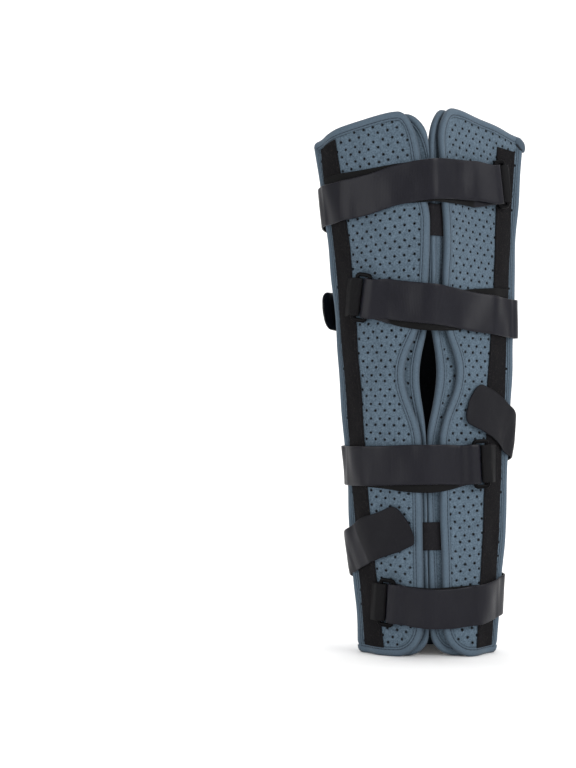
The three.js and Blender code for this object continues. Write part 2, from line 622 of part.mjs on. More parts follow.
// A ring's tab: two layers of webbing, sewn to the strip and folded round the ring's back bar
function ringTab(entry, frame) {
  const { side, ringZ: z, ringSlope } = entry;
  const seat = column('panel', z) + entry.seat;
  const bend = seat - TAB_LENGTH + FOLD.offset + TAB_RUN_IN;
  const laid = (distance, height) => {
    const row = { at: stationOf(side, distance, z), z, lean: -ringSlope };
    return formSection(side, row, STRIP.outer + height, TAB_WIDTH);
  };
  const turned = (corners) => [corners[3], corners[2], corners[1], corners[0]];
  const low = FOLD.middle - FOLD.radius;
  const high = FOLD.middle + FOLD.radius;
  const edge = column('panel', z);
  const overEdge = bend < edge ? [turned(laid(edge, low + TAB_OVER_EDGE))] : [];
  return band([
    turned(laid(seat, low)),
    ...overEdge,
    turned(laid(bend, low)),
    ...fold(frame, -1, TAB_WIDTH),
    ringSection(frame, -RING.width / 2 - TAB_RUN_OUT, high, 0, TAB_WIDTH),
    laid(seat, low + STRAP_THICKNESS + TAB_STACK),
  ]);
}

// A rectangular ring with round corners, in its own frame
function ringGeometry() {
  const rounded = (path, width, length, radius) => {
    const [x, y] = [width / 2, length / 2];
    path.moveTo(x - radius, -y).absarc(x - radius, -y + radius, radius, -Math.PI / 2, 0)
      .absarc(x - radius, y - radius, radius, 0, Math.PI / 2)
      .absarc(-x + radius, y - radius, radius, Math.PI / 2, Math.PI)
      .absarc(-x + radius, -y + radius, radius, Math.PI, 3 * Math.PI / 2);
    return path;
  };
  const shape = rounded(new THREE.Shape(), RING.width, RING.length, RING.corner);
  shape.holes.push(rounded(new THREE.Path(), RING.width - 2 * RING.bar, RING.slot, 1));
  const settings = { depth: RING.thickness, bevelEnabled: false, curveSegments: 3 };
  return new THREE.ExtrudeGeometry(shape, settings).translate(0, 0, RING.lift);
}

// Assembly
const brace = new THREE.Group();
brace.name = 'leg_brace';
brace.position.copy(FOOT_SHIFT);

function addPiece(name, geometry, finish) {
  const piece = new THREE.Mesh(geometry, finish);
  piece.name = name;
  brace.add(piece);
  return piece;
}

const INSIDE = BINDING_WIDTH + SEAM;
addPiece('wrap', wall(wrapOutline(INSIDE), WRAP), FABRIC);
addPiece('wrap_lining', wall(wrapOutline(INSIDE), LINING), LINING_CLOTH);
addPiece('wrap_binding', binding(wrapOutline(0), wrapOutline(BINDING_WIDTH), WRAP_BINDING), BINDING);

for (const [side, word] of [[-1, 'left'], [1, 'right']]) {
  addPiece(`side_panel_${word}`, wall(sideOutline(side, INSIDE), PANEL), FABRIC);
  const tape = binding(sideOutline(side, 0), sideOutline(side, BINDING_WIDTH), PANEL_BINDING);
  addPiece(`side_binding_${word}`, tape, BINDING);
  addPiece(`stay_strip_${word}`, wall(stripOutline(side), STRIP), LOOP_CLOTH);
}

for (const tab of CLOSURE_TABS) addPiece(tab.name, wall(closureOutline(tab), CLOSURE), LOOP_CLOTH);

for (const entry of STRAPS) {
  const frame = ringFrame(entry);
  addPiece(entry.name, strap(entry, frame), WEBBING);
  addPiece(`${entry.name}_tab`, ringTab(entry, frame), WEBBING);
  const ring = addPiece(`${entry.name}_ring`, ringGeometry(), PLASTIC);
  ring.position.copy(frame.origin);
  const x = new THREE.Vector3().crossVectors(frame.up, frame.out);
  ring.setRotationFromMatrix(new THREE.Matrix4().makeBasis(x, frame.up, frame.out));
}

export default brace;
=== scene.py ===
"""Studio scene of a padded full leg brace that stands closed and empty on its lower rim.

Sizes are millimetres in the classes and metres in the meshes. The brace is drawn on a chart of the leg:
s runs round it from the slit in front, to the left first, z runs up, and an offset stands out from the
outer face of the side panels. Negative offsets lie towards the leg.
"""
import logging
import math
from dataclasses import dataclass, field
from enum import Enum, IntEnum

import bpy
import numpy as np
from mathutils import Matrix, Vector
from mathutils.geometry import delaunay_2d_cdt


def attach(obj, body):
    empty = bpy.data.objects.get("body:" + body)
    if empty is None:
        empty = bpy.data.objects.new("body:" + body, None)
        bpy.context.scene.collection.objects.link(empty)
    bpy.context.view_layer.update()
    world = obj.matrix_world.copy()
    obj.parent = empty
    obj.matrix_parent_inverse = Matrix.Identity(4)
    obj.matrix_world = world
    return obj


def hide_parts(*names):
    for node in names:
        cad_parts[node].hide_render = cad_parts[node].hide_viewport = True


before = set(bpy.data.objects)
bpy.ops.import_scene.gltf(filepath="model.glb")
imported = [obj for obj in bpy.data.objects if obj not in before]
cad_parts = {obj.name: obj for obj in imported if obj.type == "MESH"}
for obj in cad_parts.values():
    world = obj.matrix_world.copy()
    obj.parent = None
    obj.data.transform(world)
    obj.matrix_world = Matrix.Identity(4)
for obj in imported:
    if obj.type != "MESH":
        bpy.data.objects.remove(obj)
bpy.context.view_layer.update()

log = logging.getLogger("leg_brace")
Array = np.ndarray
MM = 0.001
BODY = "root"
CHART = "chart"
MARK = "mark"
TAU = 2 * math.pi
LEAST_LENGTH = 1e-9
LEAST_SQUARE = 1e-12


class Side(Enum):
    """A side of the brace, as the viewer sees it from the front."""

    LEFT = -1
    RIGHT = 1


class Slot(Enum):
    """Material slots of the record."""

    FOAM = "foam_cloth"
    LINING = "lining_cloth"
    BINDING = "binding_tape"
    LOOP = "loop_cloth"
    WEBBING = "webbing"
    PLASTIC = "ring_plastic"


class Hold(Enum):
    """How a sheet is held."""

    STRETCHED = "stretched"


class Column(IntEnum):
    """Columns of the section table."""

    Z = 0
    SLIT_X = 1
    PANEL = 2
    TURN = 3
    DEPTH = 4
    LEFT_FLARE = 5
    RIGHT_FLARE = 6
    DRIFT = 7


# Curves and meshes


def smooth_curve(knots: Array, values: Array, at: Array) -> Array:
    """Cubic Hermite curve through values at rising knots, with central slopes and one-sided ends.

    Args:
        knots: rising places of the rows, (n,).
        values: rows, (n,) or (n, ...).
        at: places to read, (m,).

    Returns:
        The rows at those places, (m, ...).
    """
    order = np.arange(len(knots))
    after = np.minimum(order + 1, len(knots) - 1)
    before = np.maximum(order - 1, 0)
    wide = (-1,) + (1,) * (values.ndim - 1)
    slopes = (values[after] - values[before]) / (knots[after] - knots[before]).reshape(wide)
    i = np.clip(np.searchsorted(knots, at, side="right") - 1, 0, len(knots) - 2)
    span = (knots[i + 1] - knots[i]).reshape(wide)
    t = (at - knots[i]).reshape(wide) / span
    return (
        (2 * t**3 - 3 * t**2 + 1) * values[i]
        + (t**3 - 2 * t**2 + t) * span * slopes[i]
        + (3 * t**2 - 2 * t**3) * values[i + 1]
        + (t**3 - t**2) * span * slopes[i + 1]
    )


def unit(vectors: Array) -> Array:
    """Vectors scaled to length one."""
    return vectors / np.maximum(np.linalg.norm(vectors, axis=-1, keepdims=True), LEAST_LENGTH)


def distances(points: Array) -> Array:
    """Distance of each point of a polyline from its start, (n,)."""
    return np.concatenate([[0], np.cumsum(np.linalg.norm(np.diff(points, axis=0), axis=1))])


def chart_grid(along: Array, across: Array) -> Array:
    """Chart coordinates of a grid from its places along and across, (rows, columns, 2)."""
    return np.stack(np.broadcast_arrays(along[:, None], across[None, :]), -1)


def row_directions(rows: Array, across: Array) -> Array:
    """Unit direction of each row of points, from its lowest place across to its highest, (rows, 3)."""
    return unit(rows[:, across.argmax()] - rows[:, across.argmin()])


def grid_faces(rows: int, columns: int, loop_rows: bool = False) -> Array:
    """Triangles of a grid whose columns close on themselves.

    Args:
        rows: number of rows.
        columns: points in a row.
        loop_rows: whether the last row joins the first.

    Returns:
        Corner numbers, (m, 3).
    """
    r = np.arange(rows if loop_rows else rows - 1)[:, None]
    c = np.arange(columns)[None, :]
    up, on = (r + 1) % rows, (c + 1) % columns
    a, b, d, e = r * columns + c, r * columns + on, up * columns + on, up * columns + c
    halves = [np.stack(corners, -1).reshape(-1, 3) for corners in ((a, b, d), (a, d, e))]
    return np.concatenate(halves)


def capped_faces(rows: int, columns: int) -> Array:
    """Triangles of a tube of rows by columns, closed by a fan at both ends."""
    k = np.arange(1, columns - 1)
    first = np.stack([0 * k, k + 1, k], -1)
    last = np.stack([0 * k, k, k + 1], -1) + (rows - 1) * columns
    return np.concatenate([grid_faces(rows, columns), first, last])


def inside(points: Array, polygon: Array) -> Array:
    """Whether flat points lie inside a polygon, by counting the edges that a line to the right crosses."""
    a, b = polygon, np.roll(polygon, -1, axis=0)
    x, y = points[:, :1], points[:, 1:]
    spans = (a[:, 1] > y) != (b[:, 1] > y)
    rise = np.where(b[:, 1] == a[:, 1], LEAST_LENGTH, b[:, 1] - a[:, 1])
    crossing = a[:, 0] + (y - a[:, 1]) / rise * (b[:, 0] - a[:, 0])
    return (spans & (x < crossing)).sum(axis=1) % 2 == 1


def edge_distance(points: Array, polygon: Array) -> Array:
    """Distance of flat points from the nearest edge of a polygon."""
    a = polygon
    step = np.roll(polygon, -1, axis=0) - a
    rel = points[:, None, :] - a
    t = np.clip((rel * step).sum(-1) / np.maximum((step**2).sum(-1), LEAST_SQUARE), 0, 1)
    return np.sqrt(((rel - t[..., None] * step) ** 2).sum(-1)).min(axis=1)


@dataclass
class Shell:
    """One closed mesh: points in millimetres, triangles, chart coordinates and a mark from 0 to 2."""

    points: Array
    faces: Array
    chart: Array
    mark: Array

    def outward(self) -> "Shell":
        """The shell with its faces turned outwards, found from the sign of its volume."""
        a, b, c = (self.points[self.faces[:, k]] for k in range(3))
        if (a * np.cross(b, c)).sum() < 0:
            self.faces = self.faces[:, ::-1]
        return self


def joined(shells: list[Shell]) -> Shell:
    """Several shells as one."""
    starts = np.cumsum([0] + [len(shell.points) for shell in shells[:-1]])
    return Shell(
        np.concatenate([shell.points for shell in shells]),
        np.concatenate([shell.faces + start for shell, start in zip(shells, starts)]),
        np.concatenate([shell.chart for shell in shells]),
        np.concatenate([shell.mark for shell in shells]),
    )


def piece(name: str, shell: Shell, material: bpy.types.Material, crease: float) -> bpy.types.Object:
    """A mesh object from a shell.

    Args:
        name: name of the object.
        shell: its mesh.
        material: its finish.
        crease: edges sharper than this many degrees stay sharp.

    Returns:
        The object, at the origin.
    """
    mesh = bpy.data.meshes.new(name)
    count = len(shell.faces)
    mesh.vertices.add(len(shell.points))
    mesh.vertices.foreach_set("co", (shell.points * MM).astype(np.float32).ravel())
    mesh.loops.add(3 * count)
    mesh.loops.foreach_set("vertex_index", shell.faces.astype(np.int32).ravel())
    mesh.polygons.add(count)
    mesh.polygons.foreach_set("loop_start", np.arange(0, 3 * count, 3, dtype=np.int32))
    mesh.update(calc_edges=True)
    mesh.polygons.foreach_set("use_smooth", np.ones(count, dtype=bool))
    mesh.set_sharp_from_angle(angle=math.radians(crease))
    layer = mesh.uv_layers.new(name=CHART)
    layer.data.foreach_set("uv", shell.chart[shell.faces.ravel()].astype(np.float32).ravel())
    mark = mesh.attributes.new(MARK, "FLOAT", "POINT")
    mark.data.foreach_set("value", shell.mark.astype(np.float32))
    mesh.materials.append(material)
    mesh.update()
    obj = bpy.data.objects.new(name, mesh)
    bpy.context.scene.collection.objects.link(obj)
    return obj


def enrol(obj: bpy.types.Object, node: str) -> bpy.types.Object:
    """Hang a piece on the frame, hide the part that it stands for, and report it."""
    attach(obj, BODY)
    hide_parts(node)
    log.info("%s: %d triangles for %s", obj.name, len(obj.data.polygons), node)
    return obj


# The form of the leg

SECTIONS = np.array(
    [
        (0, 0, 45, 14, 102, 12, 0, 1),
        (130, -2, 57, 21, 116, 2, 3, 1.5),
        (264, -2, 67, 30, 132, 1, 6, 1),
        (397, 3, 83, 43, 149, 2, 2, 3.8),
        (524, 0, 97, 46, 166, 5, 12, 4),
    ],
    dtype=float,
)
PANEL_FOLDS = (0.4, 0.65)
STRIP_WIDTH = 27.0
BACK_MARGIN = 12.0
SIDE_DEPTH = STRIP_WIDTH + BACK_MARGIN
TURNS = {Side.LEFT: (6, 10, 20, 52, 64, 50), Side.RIGHT: (6, 0, -2, 58, 62, 44)}
SIDE_STATIONS = 6
STATIONS = 4 * SIDE_STATIONS
KNEE_MIDDLE = 272.0
KNEE_REACH = 62.0
STRIP_DROPS = {Side.LEFT: 10.3, Side.RIGHT: 19.0}
STRIP_SLOPES = {Side.LEFT: 1.0, Side.RIGHT: 0.45}


def section_column(name: Column, z: Array) -> Array:
    """One column of the section table at heights z."""
    flat = np.asarray(z, float).ravel()
    return smooth_curve(SECTIONS[:, Column.Z], SECTIONS[:, name], flat).reshape(np.shape(z))


@dataclass
class LegForm:
    """The smooth surface that every piece is laid on.

    Each level is the section of the solids, a walk of six straight stretches from the slit along each side
    and a Bezier curve round the back, read at even steps of its length and rounded by a Gaussian.
    """

    foot_shift: tuple[float, float] = (10.9, 5.4)
    low: float = -8.0
    high: float = 540.0
    row_step: float = 4.0
    end_rows: float = 1.001
    columns: int = 1024
    rounding: float = 3.5
    back_heading: float = 78.0
    back_lean: float = 0.55
    back_steps: int = 24
    waves: tuple[tuple[float, int, float, float], ...] = (
        (0.45, 7, 160.0, 0.4), (0.4, -9, 120.0, 1.9), (0.3, 13, 75.0, 3.1), (0.22, -17, 58.0, 5.0),
    )
    table: Array = field(init=False)
    around: Array = field(init=False)
    stations: Array = field(init=False)

    def __post_init__(self) -> None:
        """Tabulate the levels."""
        z = np.arange(self.low, self.high + self.row_step / 2, self.row_step)
        depth = section_column(Column.DEPTH, z)
        slit = np.stack([section_column(Column.SLIT_X, z), -depth / 2], -1)
        left, right = (self._walk(side, z, slit) for side in Side)
        back = np.stack([(left[:, -1, 0] + right[:, -1, 0]) / 2, depth / 2], -1)
        left_back = self._back(Side.LEFT, left[:, -1], back)
        right_back = self._back(Side.RIGHT, right[:, -1], back)
        back_again = [right_back[:, -2::-1], right[:, -2::-1]]
        line = np.concatenate([left, left_back[:, 1:], *back_again], axis=1)
        steps = np.linalg.norm(np.diff(line, axis=1), axis=-1)
        gone = np.concatenate([np.zeros((len(z), 1)), np.cumsum(steps, axis=1)], axis=1)
        self.around = gone[:, -1]
        walked = gone[:, : SIDE_STATIONS + 1]
        shares = np.arange(1, SIDE_STATIONS + 1) / SIDE_STATIONS
        half = gone[:, SIDE_STATIONS + self.back_steps, None]
        side_back = gone[:, SIDE_STATIONS + 2 * self.back_steps, None]
        self.stations = np.concatenate(
            [
                walked,
                walked[:, -1:] + (half - walked[:, -1:]) * shares,
                half + (side_back - half) * shares,
                self.around[:, None] - walked[:, -2::-1],
            ],
            axis=1,
        )
        even = np.arange(self.columns) / self.columns
        ring = np.stack(
            [
                np.interp(even * length, row, points[:, 0])
                + 1j * np.interp(even * length, row, points[:, 1])
                for length, row, points in zip(self.around, gone, line)
            ]
        )
        waves = np.fft.fftfreq(self.columns, 1 / self.columns)
        keep = np.exp(-2 * (math.pi * waves[None, :] * self.rounding / self.around[:, None]) ** 2)
        spectrum = np.fft.fft(ring, axis=1) * keep
        smooth = np.fft.ifft(spectrum, axis=1)
        heading = np.fft.ifft(spectrum * 1j * waves, axis=1)
        normal = 1j * heading / np.abs(heading)
        table = np.stack([smooth.real, smooth.imag, normal.real, normal.imag], -1)
        self.table = np.concatenate([table, table[:, :1]], axis=1)

    def panel(self, z: Array) -> Array:
        """Distance from the slit to a stay strip at heights z."""
        return section_column(Column.PANEL, z)

    def _walk(self, side: Side, z: Array, start: Array) -> Array:
        """Corner points of one side, from the slit to the side panel's back edge, (rows, 7, 2)."""
        panel = self.panel(z)
        near, far = PANEL_FOLDS
        strip = np.full_like(panel, STRIP_WIDTH / 2)
        margin = np.full_like(panel, BACK_MARGIN)
        fronts = [panel * near, panel * (far - near), panel * (1 - far)]
        lengths = np.stack([*fronts, strip, strip, margin], -1)
        base = 0 * z if side is Side.LEFT else section_column(Column.TURN, z)
        flare = -section_column(Column.LEFT_FLARE if side is Side.LEFT else Column.RIGHT_FLARE, z)
        turns = np.array(TURNS[side], float)
        angles = np.radians(np.stack([base, base, base, flare, flare, flare], -1) + turns)
        steps = np.stack([side.value * np.cos(angles), np.sin(angles)], -1) * lengths[..., None]
        return np.concatenate([start[:, None], start[:, None] + np.cumsum(steps, axis=1)], axis=1)

    def _back(self, side: Side, start: Array, back: Array) -> Array:
        """The back curve of one side: a cubic Bezier curve from the side panel to the middle of the back."""
        rise = self.back_lean * (back[:, 1] - start[:, 1])
        run = self.back_lean * np.abs(back[:, 0] - start[:, 0])
        lean = side.value * rise / math.tan(math.radians(self.back_heading))
        first = start + np.stack([lean, rise], -1)
        second = back + np.stack([side.value * run, 0 * run], -1)
        t = np.linspace(0, 1, self.back_steps + 1)[None, :, None]
        ends = [p[:, None, :] for p in (start, first, second, back)]
        near = (1 - t) ** 3 * ends[0] + 3 * (1 - t) ** 2 * t * ends[1]
        return near + 3 * (1 - t) * t**2 * ends[2] + t**3 * ends[3]

    def _rows(self, z: Array) -> tuple[Array, Array]:
        """Number of the level below each height, never the last one, and the share of the way to the next."""
        place = np.clip((z - self.low) / self.row_step, 0, len(self.around) - self.end_rows)
        return place.astype(int), place - np.floor(place)

    def length(self, z: Array) -> Array:
        """Way round the form at heights z."""
        i, f = self._rows(np.asarray(z, float))
        return self.around[i] * (1 - f) + self.around[i + 1] * f

    def station(self, count: Array, z: Array) -> Array:
        """Distance s of a station count. Counts run to the left and go on past a whole turn either way."""
        count, z = np.broadcast_arrays(np.asarray(count, float), np.asarray(z, float))
        turn = np.floor(count / STATIONS)
        rest = count - turn * STATIONS
        k = np.minimum(rest.astype(int), STATIONS - 1)
        g = rest - k
        i, f = self._rows(z)
        low = self.stations[i, k] * (1 - g) + self.stations[i, k + 1] * g
        high = self.stations[i + 1, k] * (1 - g) + self.stations[i + 1, k + 1] * g
        return low * (1 - f) + high * f + turn * self.length(z)

    def half(self, z: Array) -> Array:
        """Distance from the slit round by the left to the middle of the back."""
        return self.station(np.full(np.shape(z), STATIONS / 2), z)

    def sample(self, s: Array, z: Array) -> Array:
        """Place and outward direction in the plane, (..., 4)."""
        i, f = self._rows(z)
        turn = (s / self.length(z)) % 1.0 * self.columns
        k = np.minimum(turn.astype(int), self.columns - 1)
        g = (turn - k)[..., None]
        f = f[..., None]
        low = self.table[i, k] * (1 - g) + self.table[i, k + 1] * g
        high = self.table[i + 1, k] * (1 - g) + self.table[i + 1, k + 1] * g
        return low * (1 - f) + high * f

    def wave(self, s: Array, z: Array) -> Array:
        """Soft unevenness of the padding, which all the layers share: a sum of sines in s and z."""
        turn = TAU * s / self.length(z)
        return sum(
            high * np.sin(count * turn + TAU * z / long + start) for high, count, long, start in self.waves
        )

    def place(self, s: Array, z: Array, offset: Array) -> Array:
        """Points of the form in millimetres, (..., 3)."""
        s, z, offset = np.broadcast_arrays(*(np.asarray(v, float) for v in (s, z, offset)))
        x, y, nx, ny = np.moveaxis(self.sample(s, z), -1, 0)
        out = offset + self.wave(s, z)
        right, back = self.foot_shift
        return np.stack([x + nx * out + right, y + ny * out + back, z], -1)

    def outward(self, s: Array, z: Array) -> Array:
        """Unit vectors that point away from the leg, (..., 3)."""
        s, z = np.broadcast_arrays(np.asarray(s, float), np.asarray(z, float))
        found = self.sample(s, z)
        return unit(np.stack([found[..., 2], found[..., 3], 0 * z], -1))


@dataclass
class SideChart:
    """Flat chart of one side: x is the distance from the slit."""

    side: Side

    def around(self, x: Array, z: Array) -> Array:
        """Distance s of flat points."""
        return -self.side.value * x


@dataclass
class BackChart:
    """Flat chart of the whole wrap: x is the distance from the middle of the back."""

    form: LegForm

    def around(self, x: Array, z: Array) -> Array:
        """Distance s of flat points."""
        return x + self.form.half(z)


# Outlines


@dataclass(frozen=True)
class FrontShape:
    """Front edge of a panel: round corners, quarter ellipses, and a hollow at the knee."""

    side: Side
    edge: float
    edge_top: float
    cut_depth: float
    cut_middle: float
    cut_half: float
    peak: float
    back_top: float
    top_reach: float
    top_drop: float
    bottom_reach: float
    bottom_rise: float
    change: tuple[float, float] = (415.0, 456.0)
    crown: float = 0.12
    corner_points: int = 14
    front_points: int = 120

    def drift(self, z: Array) -> Array:
        """How far the edges have moved away from this side's slit line."""
        return self.side.value * section_column(Column.DRIFT, z)

    def front(self, z: Array) -> Array:
        """Way from the slit to the front edge: a squared cosine hollow at the knee, and a smooth step."""
        t = np.clip((z - self.cut_middle) / self.cut_half, -1, 1)
        begin, end = self.change
        u = np.clip((z - begin) / (end - begin), 0, 1)
        edge = self.edge + (self.edge_top - self.edge) * u * u * (3 - 2 * u)
        return edge + self.cut_depth * np.cos(math.pi * t / 2) ** 2

    def head(self) -> float:
        """Distance from the slit to where the round top corner ends."""
        return self.edge_top + self.top_reach + float(self.drift(np.array(self.peak)))

    def foot(self) -> float:
        """Distance from the slit to where the round bottom corner ends."""
        return self.edge + self.bottom_reach + float(self.drift(np.array(0.0)))

    def run(self, inset: float) -> Array:
        """Points from the bottom edge up the front to the top edge, drawn inset inside the finished line."""
        turn = np.linspace(0, math.pi / 2, self.corner_points, endpoint=False)
        low, top = self.bottom_rise, self.peak - self.top_drop
        z = np.linspace(low, top, self.front_points, endpoint=False)
        foot = self.edge + self.bottom_reach
        head = self.edge_top + self.top_reach
        parts = [
            (foot - (self.bottom_reach - inset) * np.sin(turn), low - (low - inset) * np.cos(turn)),
            (self.front(z) + inset, z),
            (head - (self.top_reach - inset) * np.cos(turn), top + (self.top_drop - inset) * np.sin(turn)),
        ]
        line = np.concatenate([np.stack(part, -1) for part in parts])
        return np.stack([line[:, 0] + self.drift(line[:, 1]), line[:, 1]], -1)

    def top(self, x: Array, back: float) -> Array:
        """Height of the top edge: a hyperbola that leaves the peak level and falls to the back edge."""
        gone = np.maximum(x - self.head(), 0) / (back - self.head())
        fall = (np.hypot(gone, self.crown) - self.crown) / (math.hypot(1, self.crown) - self.crown)
        return self.peak + (self.back_top - self.peak) * fall


SIDE_CORNERS = dict(bottom_reach=28, bottom_rise=31, cut_middle=KNEE_MIDDLE, cut_half=68)
SIDE_SHAPES = {
    Side.LEFT: FrontShape(
        Side.LEFT, edge=7.5, edge_top=14, cut_depth=17,
        peak=518, back_top=494, top_reach=21.5, top_drop=62, **SIDE_CORNERS,
    ),
    Side.RIGHT: FrontShape(
        Side.RIGHT, edge=12.5, edge_top=10, cut_depth=19.5,
        peak=524, back_top=503, top_reach=22.5, top_drop=33, **SIDE_CORNERS,
    ),
}
WRAP_CORNERS = dict(
    edge=0.5, edge_top=0.5, top_drop=60, bottom_reach=27, bottom_rise=28, cut_middle=KNEE_MIDDLE, cut_half=78
)
WRAP_SHAPES = {
    Side.LEFT: FrontShape(
        Side.LEFT, cut_depth=10.5, peak=516.5, back_top=491, top_reach=29, **WRAP_CORNERS
    ),
    Side.RIGHT: FrontShape(
        Side.RIGHT, cut_depth=15, peak=522.5, back_top=495, top_reach=25, **WRAP_CORNERS
    ),
}


@dataclass
class SideOutline:
    """Outline of a side panel on its chart."""

    form: LegForm
    side: Side
    back_radius: float = 7.0
    least_radius: float = 0.8
    top_points: int = 34
    corner_points: int = 7
    back_points: int = 110
    foot_points: int = 30

    def back(self, z: Array) -> Array:
        """Distance of the finished back edge from the slit."""
        return self.form.panel(z) + SIDE_DEPTH

    def corner(self) -> tuple[float, float]:
        """The upper back corner."""
        top = SIDE_SHAPES[self.side].back_top
        return float(self.back(np.array(top))), top

    def line(self, inset: float) -> Array:
        """The closed outline, drawn inset inside the finished one, (n, 2)."""
        shape = SIDE_SHAPES[self.side]
        radius = max(self.back_radius - inset, self.least_radius)
        back_top = float(self.back(np.array(shape.back_top)))
        high_end = back_top - inset - radius
        x = np.linspace(shape.head(), high_end, self.top_points, endpoint=False)
        crown = float(shape.top(np.array(high_end), back_top)) - inset - radius
        turn = np.linspace(math.pi / 2, 0, self.corner_points, endpoint=False)
        down = np.linspace(crown, inset + radius, self.back_points, endpoint=False)
        low_end = float(self.back(np.array(inset + radius))) - inset - radius
        foot = np.linspace(low_end, shape.foot(), self.foot_points, endpoint=False)
        low_turn = turn[::-1]
        parts = [
            (x, shape.top(x, back_top) - inset),
            (high_end + radius * np.cos(turn), crown + radius * np.sin(turn)),
            (self.back(down) - inset, down),
            (low_end + radius * np.sin(low_turn), inset + radius - radius * np.cos(low_turn)),
            (foot, np.full_like(foot, inset)),
        ]
        return np.concatenate([shape.run(inset)] + [np.stack(part, -1) for part in parts])


@dataclass
class WrapOutline:
    """Outline of the wrap on the chart about the middle of its back."""

    form: LegForm
    back_middle: float = 482.0
    crown_points: int = 80
    foot_points: int = 162

    def half(self, side: Side, z: Array) -> Array:
        """Distance from the slit to the middle of the back along one side."""
        left = self.form.half(z)
        return left if side is Side.LEFT else self.form.length(z) - left

    def crown(self, side: Side, inset: float) -> Array:
        """Top edge of one side, from the front peak to the middle of the back."""
        shape = WRAP_SHAPES[side]
        end = float(self.half(side, np.array(self.back_middle)))
        back = float(self.form.panel(np.array(shape.back_top))) + SIDE_DEPTH
        x = np.linspace(shape.head(), end, self.crown_points, endpoint=False)
        fall = np.clip((x - back) / (end - back), 0, 1)
        behind = shape.back_top + (self.back_middle - shape.back_top) * fall * (2 - fall)
        return np.stack([x, np.where(x < back, shape.top(x, back), behind) - inset], -1)

    def line(self, inset: float) -> Array:
        """The closed outline, drawn inset inside the finished one, (n, 2)."""
        runs = {}
        for side in Side:
            run = np.concatenate([WRAP_SHAPES[side].run(inset), self.crown(side, inset)])
            runs[side] = np.stack([side.value * (self.half(side, run[:, 1]) - run[:, 0]), run[:, 1]], -1)
        left, right = runs[Side.LEFT], runs[Side.RIGHT][::-1]
        middle = np.array([[0.0, self.back_middle - inset]])
        foot = np.linspace(right[-1, 0], left[0, 0], self.foot_points)[1:-1]
        return np.concatenate([left, middle, right, np.stack([foot, np.full_like(foot, inset)], -1)])


# Foam walls with their perforations

TRIANGLE_RISE = 0.866
HOLES_AT_ONCE = 200
MERGE_DISTANCE = 1e-4


class Spot(IntEnum):
    """What a flat point of a wall belongs to, where it isn't on the rim of a hole."""

    OUTLINE = -1
    FIELD = -2


@dataclass(frozen=True)
class Perforation:
    """The punched pattern: rows in pairs, each staggered by half the pitch from the next."""

    pitch: float = 9.3
    gaps: tuple[float, float] = (8.1, 6.3)
    radius: float = 1.05
    spread: float = 0.07
    wander: float = 0.14
    rim_points: int = 10
    dimple: float = 0.85
    dimple_depth: float = 0.32
    tilt_rate: float = 0.045
    level_height: float = 240.0
    side_span: tuple[float, float, float] = (-60, 600, 190)
    wrap_span: tuple[float, float, float] = (-70, 530, 330)
    back_radius: float = 605.0

    def lattice(self, low: float, high: float, reach: float) -> tuple[Array, Array]:
        """Places along the row and heights of the rows where they begin, (rows, columns) each."""
        pair = sum(self.gaps)
        row = np.arange(int((high - low) / pair * 2))
        heights = low + row // 2 * pair + row % 2 * self.gaps[0]
        count = np.arange(-int(reach / self.pitch), int(reach / self.pitch) + 1)
        along = (count[None, :] + 0.5 * (row % 2)[:, None]) * self.pitch
        return along, np.broadcast_to(heights[:, None], along.shape)

    def on_side(self) -> Array:
        """Hole centres on a side panel. Rows tilt down from the slit above the knee and up below it."""
        along, start = self.lattice(*self.side_span)
        tilt = np.radians(self.tilt_rate * (start - self.level_height))
        return np.stack([along, start - np.tan(tilt) * along], -1).reshape(-1, 2)

    def on_wrap(self) -> Array:
        """Hole centres on the wrap. Rows rise away from the middle of the back on flat parabolas."""
        along, start = self.lattice(*self.wrap_span)
        return np.stack([along, start + along**2 / (2 * (self.back_radius + start))], -1).reshape(-1, 2)


